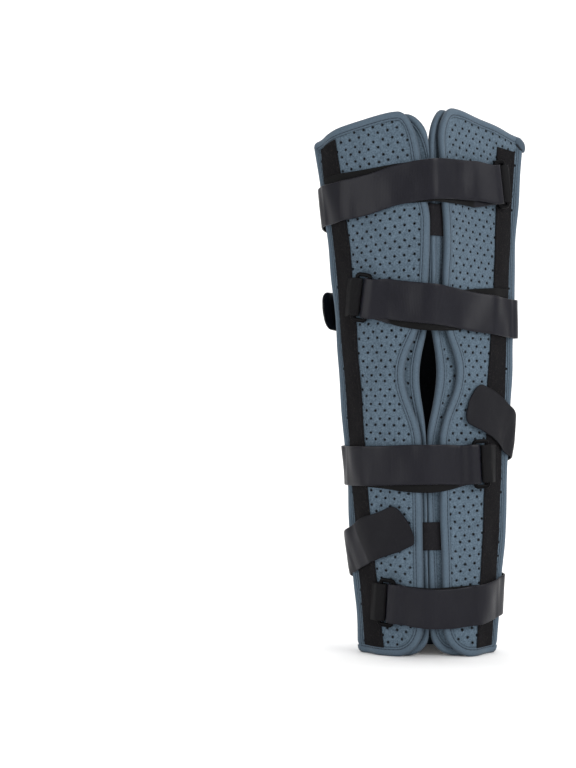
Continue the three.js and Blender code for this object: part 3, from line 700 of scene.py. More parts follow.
@dataclass
class FoamWall:
    """A flat pattern piece laid on the form as a padded wall, with its holes punched through."""

    name: str
    node: str
    form: LegForm
    chart: SideChart | BackChart
    outline: SideOutline | WrapOutline
    inner: float
    outer: float
    holes: Array
    punch: Perforation = Perforation()
    inset: float = 7.35
    pinch: float = 0.38
    pinch_reach: float = 2.6
    grid: float = 6.0
    rim_clear: float = 0.7
    edge_clear: float = 1.2
    foot_clear: float = 0.25
    # painted shade along the outline, beside the binding's edge
    seam_painted_shade: float = 0.9
    # painted shade round the holes: on the outer face's rims and in the inner face's wells
    rim_painted_shade: float = 0.85
    well_painted_shade: float = 1.0
    crease: float = 50.0
    seed: int = 3

    def _flat(self) -> tuple[Array, list[tuple[int, int]], Array]:
        """Flat points, the edges that the mesh has to keep, and a label for each point.

        Returns:
            points, edges and labels. A label is a hole's number on its rim, and a Spot elsewhere.
        """
        rng = np.random.default_rng(self.seed)
        line = self.outline.line(self.inset)
        holes = self.holes + rng.normal(0, self.punch.wander, self.holes.shape)
        holes = holes[inside(holes, line)]
        holes = holes[edge_distance(holes, line) > self.punch.radius + self.rim_clear]
        sizes = self.punch.radius * (1 + rng.normal(0, self.punch.spread, (len(holes), 1, 2)))
        turn = np.arange(self.punch.rim_points) / self.punch.rim_points * TAU
        around = np.stack([np.cos(turn), np.sin(turn)], -1)
        rims = holes[:, None] + around * sizes
        feet = holes[:, None] + around * (sizes + self.punch.dimple)
        low, high = line.min(0), line.max(0)
        columns = np.arange(low[0], high[0], self.grid)
        gx, gz = np.meshgrid(columns, np.arange(low[1], high[1], self.grid * TRIANGLE_RISE))
        gx = gx + (np.arange(gx.shape[0]) % 2)[:, None] * self.grid / 2
        pinched = self.outline.line(self.inset + self.pinch_reach)
        loose = np.concatenate([np.stack([gx, gz], -1).reshape(-1, 2), pinched])
        loose = loose[inside(loose, line)]
        loose = loose[edge_distance(loose, line) > self.edge_clear]
        feet = feet.reshape(-1, 2)
        feet = feet[edge_distance(feet, line) > self.foot_clear] if len(feet) else feet
        for start in range(0, len(holes), HOLES_AT_ONCE):
            some = holes[None, start : start + HOLES_AT_ONCE]
            gap = np.linalg.norm(loose[:, None] - some, axis=-1).min(axis=1)
            loose = loose[gap > self.punch.radius + self.punch.dimple + self.rim_clear]
        rim = rims.reshape(-1, 2)
        points = np.concatenate([line, rim, feet, loose])
        n, m, k = len(line), len(holes), self.punch.rim_points
        a = np.arange(n)
        b = n + np.arange(m * k).reshape(m, k)
        edges = np.concatenate(
            [np.stack([a, np.roll(a, -1)], -1), np.stack([b, np.roll(b, -1, axis=1)], -1).reshape(-1, 2)]
        )
        field_points = np.full(len(feet) + len(loose), int(Spot.FIELD))
        labels = np.concatenate([np.full(n, int(Spot.OUTLINE)), np.repeat(np.arange(m), k), field_points])
        return points, edges.tolist(), labels

    def shell(self) -> Shell:
        """The wall: an outer and an inner face on one flat triangulation, joined along the rims.

        The outer face drops by the dimple's depth at each rim, and both faces close up by the pinch at the
        outline, where the binding holds them.
        """
        points, edges, labels = self._flat()
        found = delaunay_2d_cdt(points.tolist(), edges, [], 0, MERGE_DISTANCE)
        flat = np.array([tuple(p) for p in found[0]])
        labels = np.array([labels[origins[0]] if origins else int(Spot.FIELD) for origins in found[3]])
        faces = np.array(found[2])
        tags = labels[faces]
        same = (tags[:, 0] == tags[:, 1]) & (tags[:, 1] == tags[:, 2])
        line = points[: int((labels == Spot.OUTLINE).sum())]
        drop = same & (tags[:, 0] >= 0)
        on_line = np.flatnonzero(same & (tags[:, 0] == Spot.OUTLINE))
        drop[on_line] = ~inside(flat[faces[on_line]].mean(axis=1), line)
        faces = faces[~drop]
        count = len(flat)
        directed = np.concatenate([faces[:, [0, 1]], faces[:, [1, 2]], faces[:, [2, 0]]])
        keys = directed[:, 0] * count + directed[:, 1]
        rims = directed[~np.isin(directed[:, 1] * count + directed[:, 0], keys)]
        a, b = rims[:, 0], rims[:, 1]
        sides = [np.stack([b, a, a + count], -1), np.stack([b, a + count, b + count], -1)]
        faces = np.concatenate([faces, faces[:, ::-1] + count, *sides])
        rim, edge = labels >= 0, labels == Spot.OUTLINE
        pinch = np.where(edge, self.pinch, 0.0)
        dimple = np.where(rim, self.punch.dimple_depth, 0)
        s = self.chart.around(flat[:, 0], flat[:, 1])
        outer = self.form.place(s, flat[:, 1], self.outer - pinch - dimple)
        inner = self.form.place(s, flat[:, 1], self.inner + pinch)
        chart = np.concatenate([flat, flat])
        # Painted shade beside the binding's edge, along the outline of the outer face.
        seam = np.where(edge, self.seam_painted_shade, 0.0)
        # Painted shade round the holes, on the outer and the inner face.
        mark = np.concatenate([np.where(rim, self.rim_painted_shade, seam), np.where(rim, self.well_painted_shade, 0.0)])
        return Shell(np.concatenate([outer, inner]), faces, chart, mark).outward()

    def build(self, material: bpy.types.Material, slot: Slot) -> bpy.types.Object:
        """Make the wall and hang it on the frame."""
        return enrol(piece(self.name, self.shell(), material, self.crease), self.node)


# Stitches and bindings


@dataclass(frozen=True)
class Stitch:
    """One stitch of thread: a long grain with blunt ends, whose section is an ellipse."""

    length: float = 2.7
    width: float = 0.9
    high: float = 0.55
    rows: int = 6
    columns: int = 6
    end_cut: float = 0.25
    bluntness: float = 0.6

    def local(self) -> Array:
        """Points of a grain about its own middle: along, across and out, (n, 3)."""
        lat = np.linspace(self.end_cut, math.pi - self.end_cut, self.rows)[:, None]
        lon = (np.arange(self.columns) / self.columns * TAU)[None, :]
        thick = np.sin(lat) ** self.bluntness
        axes = [
            self.length / 2 * np.cos(lat) + 0 * lon,
            self.width / 2 * thick * np.cos(lon),
            self.high / 2 * thick * np.sin(lon),
        ]
        return np.stack(axes, -1).reshape(-1, 3)

    def sewn(self, origins: Array, along: Array, out: Array, chart: Array) -> Shell:
        """A row of stitches: the grain set down at each middle.

        Args:
            origins: middles, (n, 3).
            along: unit directions, (n, 3).
            out: outward directions, (n, 3).
            chart: chart coordinates of the middles, (n, 2).

        Returns:
            All the stitches as one shell, marked 1.
        """
        along = unit(along - (along * out).sum(-1, keepdims=True) * out)
        axes = np.stack([along, np.cross(out, along), out], axis=1)
        points = (origins[:, None] + np.einsum("tk,nkc->ntc", self.local(), axes)).reshape(-1, 3)
        count = self.rows * self.columns
        starts = (np.arange(len(origins)) * count)[:, None, None]
        faces = (capped_faces(self.rows, self.columns)[None] + starts).reshape(-1, 3)
        return Shell(points, faces, np.repeat(chart, count, axis=0), np.ones(len(points))).outward()


def paced(line: Array, pace: float) -> Array:
    """Points at even steps round a closed flat polyline."""
    path = np.concatenate([line, line[:1]])
    gone = distances(path)
    count = int(gone[-1] / pace)
    at = (np.arange(count) + 0.5) * gone[-1] / count
    return np.stack([np.interp(at, gone, path[:, k]) for k in range(path.shape[1])], -1)


@dataclass(frozen=True)
class CornerFold:
    """A tuck of tape over a panel's upper back corner: a flat ellipsoid drawn on the chart."""

    back: float = 5.0
    down: float = 6.2
    long: float = 9.0
    wide: float = 5.0
    high: float = 2.6
    lean: float = -45.0
    rows: int = 13
    columns: int = 28
    end_angle: float = 1.5
    bluntness: float = 0.7
    # The crease along the tuck's inner edge is painted shade; the rest of the tuck is drawn a little darker.
    painted_crease_share: float = 0.72
    shade: float = 1.6
    fold_darkening: float = 0.45

    def shell(self, form: LegForm, chart: SideChart | BackChart, corner: tuple[float, float]) -> Shell:
        """The tuck, with painted shade in the crease along its inner edge, and the rest drawn a little
        darker.

        Args:
            form: the form that it lies on.
            chart: the panel's chart.
            corner: the panel's upper back corner on that chart.

        Returns:
            The closed shell.
        """
        lat = np.linspace(-self.end_angle, self.end_angle, self.rows)[:, None]
        lon = (np.arange(self.columns) / self.columns * TAU)[None, :]
        a = self.long * np.cos(lat) ** self.bluntness * np.cos(lon)
        b = self.wide * np.cos(lat) ** self.bluntness * np.sin(lon)
        angle = math.radians(self.lean)
        x = corner[0] - self.back + a * math.cos(angle) - b * math.sin(angle)
        z = corner[1] - self.down + a * math.sin(angle) + b * math.cos(angle)
        points = form.place(chart.around(x, z), z, self.high * np.sin(lat) + 0 * lon)
        # Painted shade in the crease along the inner edge; the rest a little darker.
        mark = np.where(b < -self.painted_crease_share * self.wide, self.shade, self.fold_darkening).ravel()
        flat = np.stack([x, z], -1).reshape(-1, 2)
        return Shell(points.reshape(-1, 3), capped_faces(self.rows, self.columns), flat, mark).outward()


TUCKS = {
    Side.LEFT: CornerFold(back=7.0, down=7.0, long=5.0, wide=2.0, high=1.3, lean=50.0),
    Side.RIGHT: CornerFold(),
}
# Mark across the tape by inset: painted shade on the rolled outer edge and in the stitched groove.
EDGE_PAINTED_SHADES = np.array([(0, 0.6), (1.0, 0.35), (2.2, 0), (6.0, 0), (6.6, 0.9), (7.2, 0)])
ROLL_TOP = 10


@dataclass
class EdgeBinding:
    """Tape folded round a panel's edge: a soft roll, a stitched groove and a thin flange on the cloth."""

    name: str
    node: str
    form: LegForm
    chart: SideChart | BackChart
    outline: SideOutline | WrapOutline
    inner: float
    outer: float
    slot_inner: float
    slot_outer: float
    groove: float = 6.6
    pace: float = 4.1
    thread_depth: float = 0.36
    crease: float = 60.0
    fill: float = 0.8
    fold: CornerFold | None = None

    def profile(self) -> Array:
        """The closed section of the tape: inset from the finished edge and offset, (n, 2)."""
        top, low = self.outer, self.inner
        mid = (top + low) / 2
        over = [
            (8.45, self.slot_outer + 0.04), (8.5, top - 0.3), (8.2, top - 0.04), (7.6, top),
            (7.1, top - 0.14), (self.groove, top - 0.5), (6.1, top - 0.2), (5.5, top + 0.1),
            (4.7, top + 0.3), (3.7, top + 0.36), (2.7, top + 0.2), (1.8, top - 0.16),
            (1.0, top - 0.66), (0.4, top - 1.3), (0.08, mid + 0.6), (0, mid),
        ]
        under = [
            (0.08, mid - 0.6), (0.4, low + 1.3), (1.0, low + 0.7), (1.8, low + 0.32),
            (2.8, low + 0.1), (4.2, low), (8.1, low), (8.45, low + 0.14),
            (8.45, self.slot_inner - 0.04), (6.95, self.slot_inner), (6.95, self.slot_outer),
        ]
        return np.array(over + under)

    def shell(self) -> Shell:
        """The tape, the section run round the outline, with its stitches in the groove."""
        section = self.profile()
        lines = np.stack([self.outline.line(inset) for inset in section[:, 0]], axis=1)
        x, z = lines[..., 0], lines[..., 1]
        points = self.form.place(self.chart.around(x, z), z, section[:, 1])
        chart = chart_grid(distances(lines[:, ROLL_TOP]), distances(section)).reshape(-1, 2)
        faces = grid_faces(len(lines), len(section), loop_rows=True)
        # Painted shade on the rolled outer edge and in the stitched groove.
        shade = np.interp(section[:, 0], *EDGE_PAINTED_SHADES.T)
        mark = np.broadcast_to(shade, x.shape).ravel()
        tape = Shell(points.reshape(-1, 3), faces, chart, mark).outward()
        shells = [tape, self.sewing()]
        if self.fold and isinstance(self.outline, SideOutline):
            shells.append(self.fold.shell(self.form, self.chart, self.outline.corner()))
        return joined(shells)

    def sewing(self) -> Shell:
        """The row of stitches in the groove."""
        seam = paced(self.outline.line(self.groove), self.pace)
        ahead = np.roll(seam, -1, axis=0)
        s, on = (self.chart.around(p[:, 0], p[:, 1]) for p in (seam, ahead))
        depth = self.outer - self.thread_depth
        origins = self.form.place(s, seam[:, 1], depth)
        along = self.form.place(on, ahead[:, 1], depth) - origins
        return Stitch().sewn(origins, unit(along), self.form.outward(s, seam[:, 1]), seam)

    def build(self, material: bpy.types.Material) -> None:
        obj = enrol(piece(self.name, self.shell(), material, self.crease), self.node)


# Flat cloth and webbing

PILE_ABOVE = 0.3
CLOTH_CREASE = 60.0
WEB_CREASE = 50.0


def ribbon_profile(width: float, thickness: float, count: int) -> tuple[Array, Array]:
    """Section of a ribbon with round edges: places across it and heights through it."""
    radius = thickness / 2
    half = width / 2 - radius
    flat = np.linspace(-half, half, count)
    turn = np.radians([60.0, 30.0, 0.0, -30.0, -60.0])
    bulge = half + radius * np.cos(turn)
    across = np.concatenate([flat, bulge, flat[::-1], -bulge])
    through = np.concatenate(
        [np.full(count, radius), radius * np.sin(turn), np.full(count, -radius), -radius * np.sin(turn)]
    )
    return across, through


def ribbon(
    middle: Array, across: Array, through: Array, chart: Array, mark: Array, facing: Array
) -> Shell:
    """A ribbon about a middle surface.

    Args:
        middle: points of the middle surface under each point of the section, (rows, k, 3).
        across: direction across each row, (rows, 3).
        through: height of each point of the section, (k,) or (rows, k).
        chart: chart coordinates, (rows, k, 2).
        mark: mark of each row, (rows,).
        facing: the side that the last row's upper face looks to, (3,).

    Returns:
        The closed ribbon: each point stands off the middle surface along its normal.
    """
    rows, columns = middle.shape[:2]
    normal = unit(np.cross(np.gradient(middle, axis=0), across[:, None, :]))
    if (normal[-1].mean(axis=0) * facing).sum() < 0:
        normal = -normal
    points = middle + normal * np.broadcast_to(through, (rows, columns))[..., None]
    marks = np.repeat(mark, columns)
    faces = capped_faces(rows, columns)
    return Shell(points.reshape(-1, 3), faces, chart.reshape(-1, 2), marks).outward()


@dataclass
class ClothStrip:
    """A stay strip: loop cloth sewn down the side panel along both edges."""

    name: str
    node: str
    form: LegForm
    side: Side
    inner: float = 0.3
    outer: float = 1.5
    foot: float = 8.3
    head_level: float = 490.0
    flat_length: float = 485.0
    rows: int = 260
    columns: int = 29
    pile: float = 0.1
    seam: float = 2.2
    seam_foot: float = 4.0
    seam_top: float = 480.0
    pace: float = 3.4
    thread_height: float = 0.05
    thread: Stitch = Stitch(2.3, 0.7, 0.5)
    seed: int = 11

    def top(self, x: Array) -> Array:
        """Height of the strip's upper end, which takes a share of the panel's slope."""
        shape = SIDE_SHAPES[self.side]
        edge = shape.top(x, float(self.form.panel(np.array(shape.back_top))) + SIDE_DEPTH)
        return edge.mean() + (edge - edge.mean()) * STRIP_SLOPES[self.side] - STRIP_DROPS[self.side]

    def shell(self) -> Shell:
        """The strip, a ribbon up the side panel whose pile is uneven, with two rows of stitches."""
        rng = np.random.default_rng(self.seed)
        y, through = ribbon_profile(STRIP_WIDTH, self.outer - self.inner, self.columns)
        share = np.linspace(0, 1, self.rows)[:, None]
        head = self.top(self.form.panel(np.array(self.head_level)) + STRIP_WIDTH / 2 + y)
        z = self.foot + share * (head - self.foot)
        x = self.form.panel(z) + STRIP_WIDTH / 2 + y
        s = -self.side.value * x
        middle = self.form.place(s, z, (self.inner + self.outer) / 2)
        pile = through + np.where(through > PILE_ABOVE, rng.normal(0, self.pile, z.shape), 0)
        facing = self.form.outward(s[-1], z[-1]).mean(axis=0)
        chart = np.stack([np.broadcast_to(y, z.shape), z], -1)
        strip = ribbon(middle, row_directions(middle, y), pile, chart, np.zeros(self.rows), facing)
        return joined([strip] + [self.sewing(edge) for edge in (self.seam, STRIP_WIDTH - self.seam)])

    def sewing(self, edge: float) -> Shell:
        """A row of stitches that far from the strip's front edge."""
        z = np.arange(self.foot + self.seam_foot, self.seam_top, self.pace)
        s = -self.side.value * (self.form.panel(z) + edge)
        origins = self.form.place(s, z, self.outer + self.thread_height)
        along = unit(np.gradient(origins, axis=0))
        return self.thread.sewn(origins, along, self.form.outward(s, z), np.stack([0 * z + edge, z], -1))

    def build(self, material: bpy.types.Material) -> None:
        obj = enrol(piece(self.name, self.shell(), material, CLOTH_CREASE), self.node)


@dataclass
class ClosureTab:
    """A hook patch across the slit, between the wrap and the side panels."""

    name: str
    node: str
    form: LegForm
    middle: float
    height: float
    reach: float
    inner: float = -6.2
    outer: float = -4.9
    rows: int = 60
    columns: int = 25
    pile: float = 0.08
    shade: float = 0.6
    seed: int = 5

    def shell(self) -> Shell:
        """The patch, a ribbon that runs through the slit."""
        rng = np.random.default_rng(self.seed)
        y, through = ribbon_profile(self.height, self.outer - self.inner, self.columns)
        s = np.linspace(-self.reach, self.reach, self.rows)[:, None] + 0 * y
        z = self.middle + y + 0 * s
        points = self.form.place(s, z, (self.inner + self.outer) / 2)
        pile = through + np.where(through > PILE_ABOVE, rng.normal(0, self.pile, s.shape), 0)
        facing = self.form.outward(s[-1], z[-1]).mean(axis=0)
        mark = np.full(self.rows, self.shade)
        return ribbon(points, row_directions(points, y), pile, np.stack([s, z], -1), mark, facing)

    def build(self, material: bpy.types.Material) -> None:
        obj = enrol(piece(self.name, self.shell(), material, CLOTH_CREASE), self.node)


@dataclass(frozen=True)
class StrapRow:
    """One row of a strap's run. Stations count away from the ring's side, through the slit."""

    at: float
    z: float
    lift: float = 0.0
    lean: float = 0.0


@dataclass(frozen=True)
class RingSize:
    """A rectangular ring and the fold of webbing round its bars."""

    length: float = 47.0
    width: float = 17.0
    bar: float = 4.0
    thickness: float = 3.4
    middle: float = 4.4
    tab_length: float = 15.0
    fold_radius: float = 3.1
    fold_reach: float = 4.4
    fold_offset: float = 5.5
    fold_steps: int = 14
    end_bar: float = 3.6
    corner: float = 2.4
    corner_points: int = 8
    section_points: int = 18
    squareness: float = 0.62
    pace: float = 1.6


@dataclass
class RingFrame:
    """Where a ring stands: along the strap, up the strip and out from the surface."""

    form: LegForm
    side: Side
    z: float
    slope: float
    seat: float
    surface: float = 1.5
    reach: float = 20.0
    size: RingSize = RingSize()

    def __post_init__(self) -> None:
        """Work out the three directions and the origin on the strip's face."""
        panel = float(self.form.panel(np.array(self.z)))
        at = panel + self.seat - self.size.tab_length
        near, far = at - self.size.width / 2, at + self.size.width / 2
        origin, edge = self._spot(at, self.z), self._spot(panel, self.z)
        toward = unit(self._spot(near, self.z) - self._spot(far, self.z))
        up = unit(self._spot(at, self.z + self.reach) - self._spot(at, self.z - self.reach))
        self.out = unit(np.cross(toward, up)) * -self.side.value
        self.origin = origin + self.out * max(float((edge - origin) @ self.out), 0)
        angle = math.radians(self.slope * self.side.value)
        self.up = up * math.cos(angle) + np.cross(self.out, up) * math.sin(angle)
        self.along = np.cross(self.up, self.out) * -self.side.value

    def _spot(self, distance: float, z: float) -> Array:
        """A point of the strip's face at a distance from the slit."""
        return self.form.place(np.array(-self.side.value * distance), np.array(z), self.surface)

    def rows(self, a: Array, c: Array, across: Array) -> Array:
        """Rows of points: a along the strap, c out and the places across, (rows, k, 3)."""
        a, c = np.atleast_1d(a).astype(float), np.atleast_1d(c).astype(float)
        spine = self.origin + a[:, None] * self.along + c[:, None] * self.out
        return spine[:, None] + across[None, :, None] * self.up

    def fold(self, direction: float, across: Array) -> Array:
        """Webbing folded round a bar, half a circle from its underside to its top."""
        angle = math.pi * (1 - np.arange(self.size.fold_steps + 1) / self.size.fold_steps)
        a = direction * (self.size.fold_offset - self.size.fold_reach * np.sin(angle))
        return self.rows(a, self.size.middle + self.size.fold_radius * np.cos(angle), across)


def resampled(rows: Array, step: float) -> tuple[Array, Array]:
    """Rows of points run through by smooth curves and read at even steps of their middle's length.

    Args:
        rows: control rows, (n, k, 3).
        step: distance between the new rows.

    Returns:
        The new rows, (m, k, 3), and their distances from the start, (m,).
    """
    middle = rows.mean(axis=1)
    gone = distances(middle)
    at = np.linspace(0, gone[-1], int(gone[-1] / step) + 1)
    return smooth_curve(gone, rows, at), at


GROUND_STATIONS = (2.5, 2.95, 5.05, 5.5, 6.1, 7.7)
GROUND_HEIGHTS = (0.6, 1.5, 1.5, 0.6, 0.6, -6.6)
DOUBLED_STATIONS = (-6.2, -5.2)
TIP_ROWS = np.array([4.0, 8.0, 11.6])
SLACK_WAVES = ((0.12, 9.0), (0.08, 3.7))
SLACK_STARTS = (0.0, 150.0, 190.0)
SLACK_SHARES = (0.0, 0.0, 1.0)
TAB_BEND = 2.2
TAB_LOWER = 1.3
TAB_FOLD_END = (-8.9, 7.5)
TAB_SET_BACK = 2.5
TAB_UPPER = (4.4, 3.4)


@dataclass
class Strap:
    """A webbing strap: from the far strip over the slit to its ring, back over itself and round the leg."""

    name: str
    form: LegForm
    side: Side
    ring_z: float
    slope: float
    seat: float
    under: tuple[StrapRow, ...]
    over: tuple[StrapRow, ...]
    width: float = 38.0
    thickness: float = 1.5
    pad: float = 34.0
    tip: float = 9.0
    tip_power: float = 2.3
    tip_least: float = 0.12
    tip_lift: float = 0.0
    columns: int = 15
    pace: float = 6.0
    least_rows: int = 3
    step: float = 1.6
    layer_gap: float = 2.0
    clearance: float = 0.45
    approach: float = 11.5
    under_height: float = 1.1
    over_height: float = 7.4
    mark_fade: float = 3.0
    # painted deep shade on the under run, beneath the over run
    under_painted_shade: float = 2.0
    slack_share: float = 0.5
    tab_width: float = 36.0
    tab_columns: int = 13
    tab_step: float = 0.8
    # painted deep shade over the whole ring tab
    tab_painted_shade: float = 1.8
    seed: int = 21
    length: float = field(init=False, default=0.0)
    tab_length: float = field(init=False, default=0.0)

    def frame(self) -> RingFrame:
        """The frame of this strap's ring."""
        return RingFrame(self.form, self.side, self.ring_z, self.slope, self.seat)

    def resting(self, at: Array, layer: int) -> Array:
        """Height of the strap's middle: on the strips, on the panels, or on the wrap behind them."""
        count = np.where(np.abs(at) > STATIONS / 2, STATIONS - np.abs(at), np.abs(at))
        ground = np.interp(count, GROUND_STATIONS, GROUND_HEIGHTS)
        stacked = self.layer_gap * layer * np.interp(at, DOUBLED_STATIONS, (0, 1))
        return ground + stacked + self.thickness / 2 + self.clearance

    def laid(self, run: tuple[StrapRow, ...], layer: int, across: Array) -> Array:
        """Control rows of a run that lies on the form, (rows, k, 3)."""
        table = np.array([(row.at, row.z, row.lift, row.lean) for row in run])
        way = 1 if table[-1, 0] > table[0, 0] else -1
        ends = table[[0, -1]]
        reach = np.abs(np.diff(self.form.station(ends[:, 0], ends[:, 1])))[0]
        at = np.linspace(table[0, 0], table[-1, 0], max(int(reach / self.pace), self.least_rows))
        z, lift, lean = smooth_curve(way * table[:, 0], table[:, 1:], way * at).T
        height = self.resting(at, layer) + np.maximum(lift, 0)
        return self.crossed(self.form.station(-self.side.value * at, z), z, height, lean, across)

    def crossed(self, s: Array, z: Array, height: Array, lean: Array, across: Array) -> Array:
        """Rows across a run at s and z, turned by lean in the surface, (rows, k, 3)."""
        angle = np.radians(lean)[:, None]
        s = s[:, None] - self.side.value * across * np.sin(angle)
        z = z[:, None] + across * np.cos(angle)
        return self.form.place(s, z, height[:, None] + 0 * s)

    def ending(self, across: Array) -> Array:
        """Control rows of the rounded tip, on along the strap's own run and lifting evenly."""
        before, end = self.over[-2:]
        on = TIP_ROWS
        z = np.array([before.z, end.z])
        s = self.form.station(-self.side.value * np.array([before.at, end.at]), z)
        way = unit(np.array([s[1] - s[0], z[1] - z[0]]))
        height = self.resting(np.array([end.at]), 1) + end.lift + self.tip_lift * on / on[-1]
        return self.crossed(s[1] + way[0] * on, end.z + way[1] * on, height, end.lean + 0 * on, across)

    def shell(self) -> Shell:
        """The strap: control rows on the form and in the ring's frame, run through by smooth curves."""
        rng = np.random.default_rng(self.seed)
        y, through = ribbon_profile(self.width, self.thickness, self.columns)
        ring = self.frame()
        under = self.laid(self.under, 0, y)
        over = self.laid(self.over, 1, y)
        into, out_of = (ring.rows(self.approach, c, y) for c in (self.under_height, self.over_height))
        rows = np.concatenate([under, into, ring.fold(1, y), out_of, over, self.ending(y)])
        middle, gone = resampled(rows, self.step)
        self.length = float(gone[-1])
        left = np.clip((gone[-1] - gone) / self.tip, 0, 1)
        share = np.maximum((1 - (1 - left) ** self.tip_power) ** (1 / self.tip_power), self.tip_least)
        spine = middle.mean(axis=1, keepdims=True)
        middle = spine + (middle - spine) * share[:, None, None]
        # Mark: the tail's hook pad in its own colour, and painted deep shade on the under run beneath the
        # over run.
        pad = np.clip((gone - gone[-1] + self.pad) / self.mark_fade, 0, 1)
        hidden = np.clip((distances(under.mean(axis=1))[-1] - gone) / self.mark_fade, 0, 1)
        mark = pad + self.under_painted_shade * hidden
        last, end_z = self.over[-1], np.array(self.over[-1].z)
        facing = self.form.outward(self.form.station(np.array(-self.side.value * last.at), end_z), end_z)
        slack = sum(high * np.sin(gone / long + rng.uniform(0, TAU)) for high, long in SLACK_WAVES)
        loose = np.interp(gone, SLACK_STARTS, SLACK_SHARES)
        lifted = through[None, :] + slack[:, None] * loose[:, None] * self.slack_share
        return ribbon(middle, row_directions(middle, y), lifted, chart_grid(gone, y), mark, facing)

    def sewn_row(self, distance: float, height: float, across: Array) -> Array:
        """A row of the tab on its strip: distance from the slit, height above the strip's face."""
        s = np.array([-self.side.value * distance])
        level = np.array([RingFrame.surface + height])
        return self.crossed(s, np.array([self.ring_z]), level, np.array([-self.slope]), across)

    def tab_shell(self) -> Shell:
        """The ring's tab: two layers sewn to the strip and folded round the ring's back bar."""
        y, through = ribbon_profile(self.tab_width, self.thickness, self.tab_columns)
        ring = self.frame()
        seat = float(self.form.panel(np.array(self.ring_z))) + self.seat
        bend = seat - ring.size.tab_length + ring.size.fold_offset + TAB_BEND
        lower = [self.sewn_row(distance, TAB_LOWER, y) for distance in (seat, bend)]
        ends = zip((seat - TAB_SET_BACK, seat), TAB_UPPER)
        upper = [self.sewn_row(distance, height, y) for distance, height in ends]
        rows = np.concatenate([*lower, ring.fold(-1, y), ring.rows(*TAB_FOLD_END, y), *upper])
        middle, gone = resampled(rows, self.tab_step)
        self.tab_length = float(gone[-1])
        facing = self.form.outward(np.array(-self.side.value * seat), np.array(self.ring_z))
        # Painted deep shade over the whole tab, which lies under the strap's fold and the ring.
        mark = np.full(len(gone), self.tab_painted_shade)
        return ribbon(middle, row_directions(middle, y), through, chart_grid(gone, y), mark, facing)

    def ring_shell(self) -> Shell:
        """The ring: a superellipse run round a rectangle with round corners."""
        ring = self.frame()
        size = ring.size
        radius = size.corner
        half = np.array([(size.width - size.bar) / 2, (size.length - size.end_bar) / 2])
        quarter = np.linspace(0, math.pi / 2, size.corner_points)
        spots = []
        for k, corner in enumerate([(1, 1), (-1, 1), (-1, -1), (1, -1)]):
            turn = quarter + k * math.pi / 2
            circle = radius * np.stack([np.cos(turn), np.sin(turn)], -1)
            spots.append(np.array(corner) * (half - radius) + circle)
        path = paced(np.concatenate(spots), size.pace)
        ahead = unit(np.roll(path, -1, axis=0) - np.roll(path, 1, axis=0))
        outward = np.stack([ahead[:, 1], -ahead[:, 0]], -1)
        turn = np.arange(size.section_points) / size.section_points * TAU
        wide, tall = (
            reach / 2 * np.sign(wave) * np.abs(wave) ** size.squareness
            for reach, wave in ((size.bar, np.cos(turn)), (size.thickness, np.sin(turn)))
        )
        flat = path[:, None] + outward[:, None] * wide[None, :, None]
        points = ring.origin + flat[..., :1] * np.cross(ring.up, ring.out) + flat[..., 1:] * ring.up
        points = (points + (size.middle + tall)[None, :, None] * ring.out).reshape(-1, 3)
        chart = chart_grid(np.arange(len(path)) * size.pace, turn).reshape(-1, 2)
        faces = grid_faces(len(path), len(turn), loop_rows=True)
        return Shell(points, faces, chart, np.zeros(len(points))).outward()

    def build(self, webbing: bpy.types.Material, plastic: bpy.types.Material) -> None:
        web = piece(f"{self.name}_web", self.shell(), webbing, WEB_CREASE)
        strap = enrol(web, self.name)
        tab_web = piece(f"{self.name}_tab_web", self.tab_shell(), webbing, WEB_CREASE)
        tab = enrol(tab_web, f"{self.name}_tab")
        loop = piece(f"{self.name}_ring_loop", self.ring_shell(), plastic, WEB_CREASE)
        enrol(loop, f"{self.name}_ring")


def rows_of(*rows: tuple[float, ...]) -> tuple[StrapRow, ...]:
    """Strap rows from short tuples of at, z, lift and lean."""
    return tuple(StrapRow(*row) for row in rows)


def straps_on(form: LegForm) -> list[Strap]:
    """The four straps, from the thigh down."""
    return [
        Strap(
            "thigh_strap_upper", form, Side.RIGHT, 455, 4, 16,
            rows_of((-4.8, 440), (-3, 443), (0, 452), (2, 450)),
            rows_of((2, 456, 2), (0, 454), (-3, 436), (-6, 432), (-9, 420), (-11.6, 409)),
        ),
        Strap(
            "thigh_strap_lower", form, Side.LEFT, 344, 6, 5,
            rows_of((-4.8, 335), (-3, 335), (0, 331), (1.6, 338)),
            rows_of(
                (1.6, 342), (0, 337), (-3, 328), (-6, 325), (-12, 328), (-16, 332, 0.5), (-17.3, 333, 4, -12)
            ),
            pad=0.0, tip=15.0, tip_lift=6.5,
        ),
        Strap(
            "calf_strap_upper", form, Side.RIGHT, 185, 1, 8,
            rows_of((-4.8, 183), (-3, 182), (0, 177), (1.6, 182)),
            rows_of(
                (1.6, 184), (0, 185), (-3, 183), (-6, 182), (-9, 184), (-12, 189), (-15, 197),
                (-16, 201, 0.6), (-17, 206, 1.8, 4), (-18, 212, 1.8, 8), (-19, 220, 1.8, 9),
                (-21, 236, 1.6, 5), (-21.5, 241, 1.6, 4),
            ),
            pad=78.0,
        ),
        Strap(
            "calf_strap_lower", form, Side.LEFT, 53, 5, 5,
            rows_of((-4.8, 52), (-3, 50), (0, 48), (1.3, 50)),
            rows_of(
                (1.3, 50), (0, 47), (-1.5, 47), (-3, 50), (-6, 56), (-9, 61), (-12, 69), (-15, 80),
                (-16, 85, 0.6), (-17, 91, 1.6, 6), (-18, 97, 1.8, 10), (-19, 102, 1.6, 12),
                (-21, 114, 1.8, 12), (-22.6, 125, 1.6, 10),
            ),
            pad=58.0,
        ),
    ]


# Finishes

Colour = tuple[float, float, float]
# Painted deep shade, mixed in where a mark rises above 1: on the straps' under runs, on the ring tabs and in
# the tucks' creases.
PAINTED_DEEP_SHADE: Colour = (0.0016, 0.0016, 0.002)


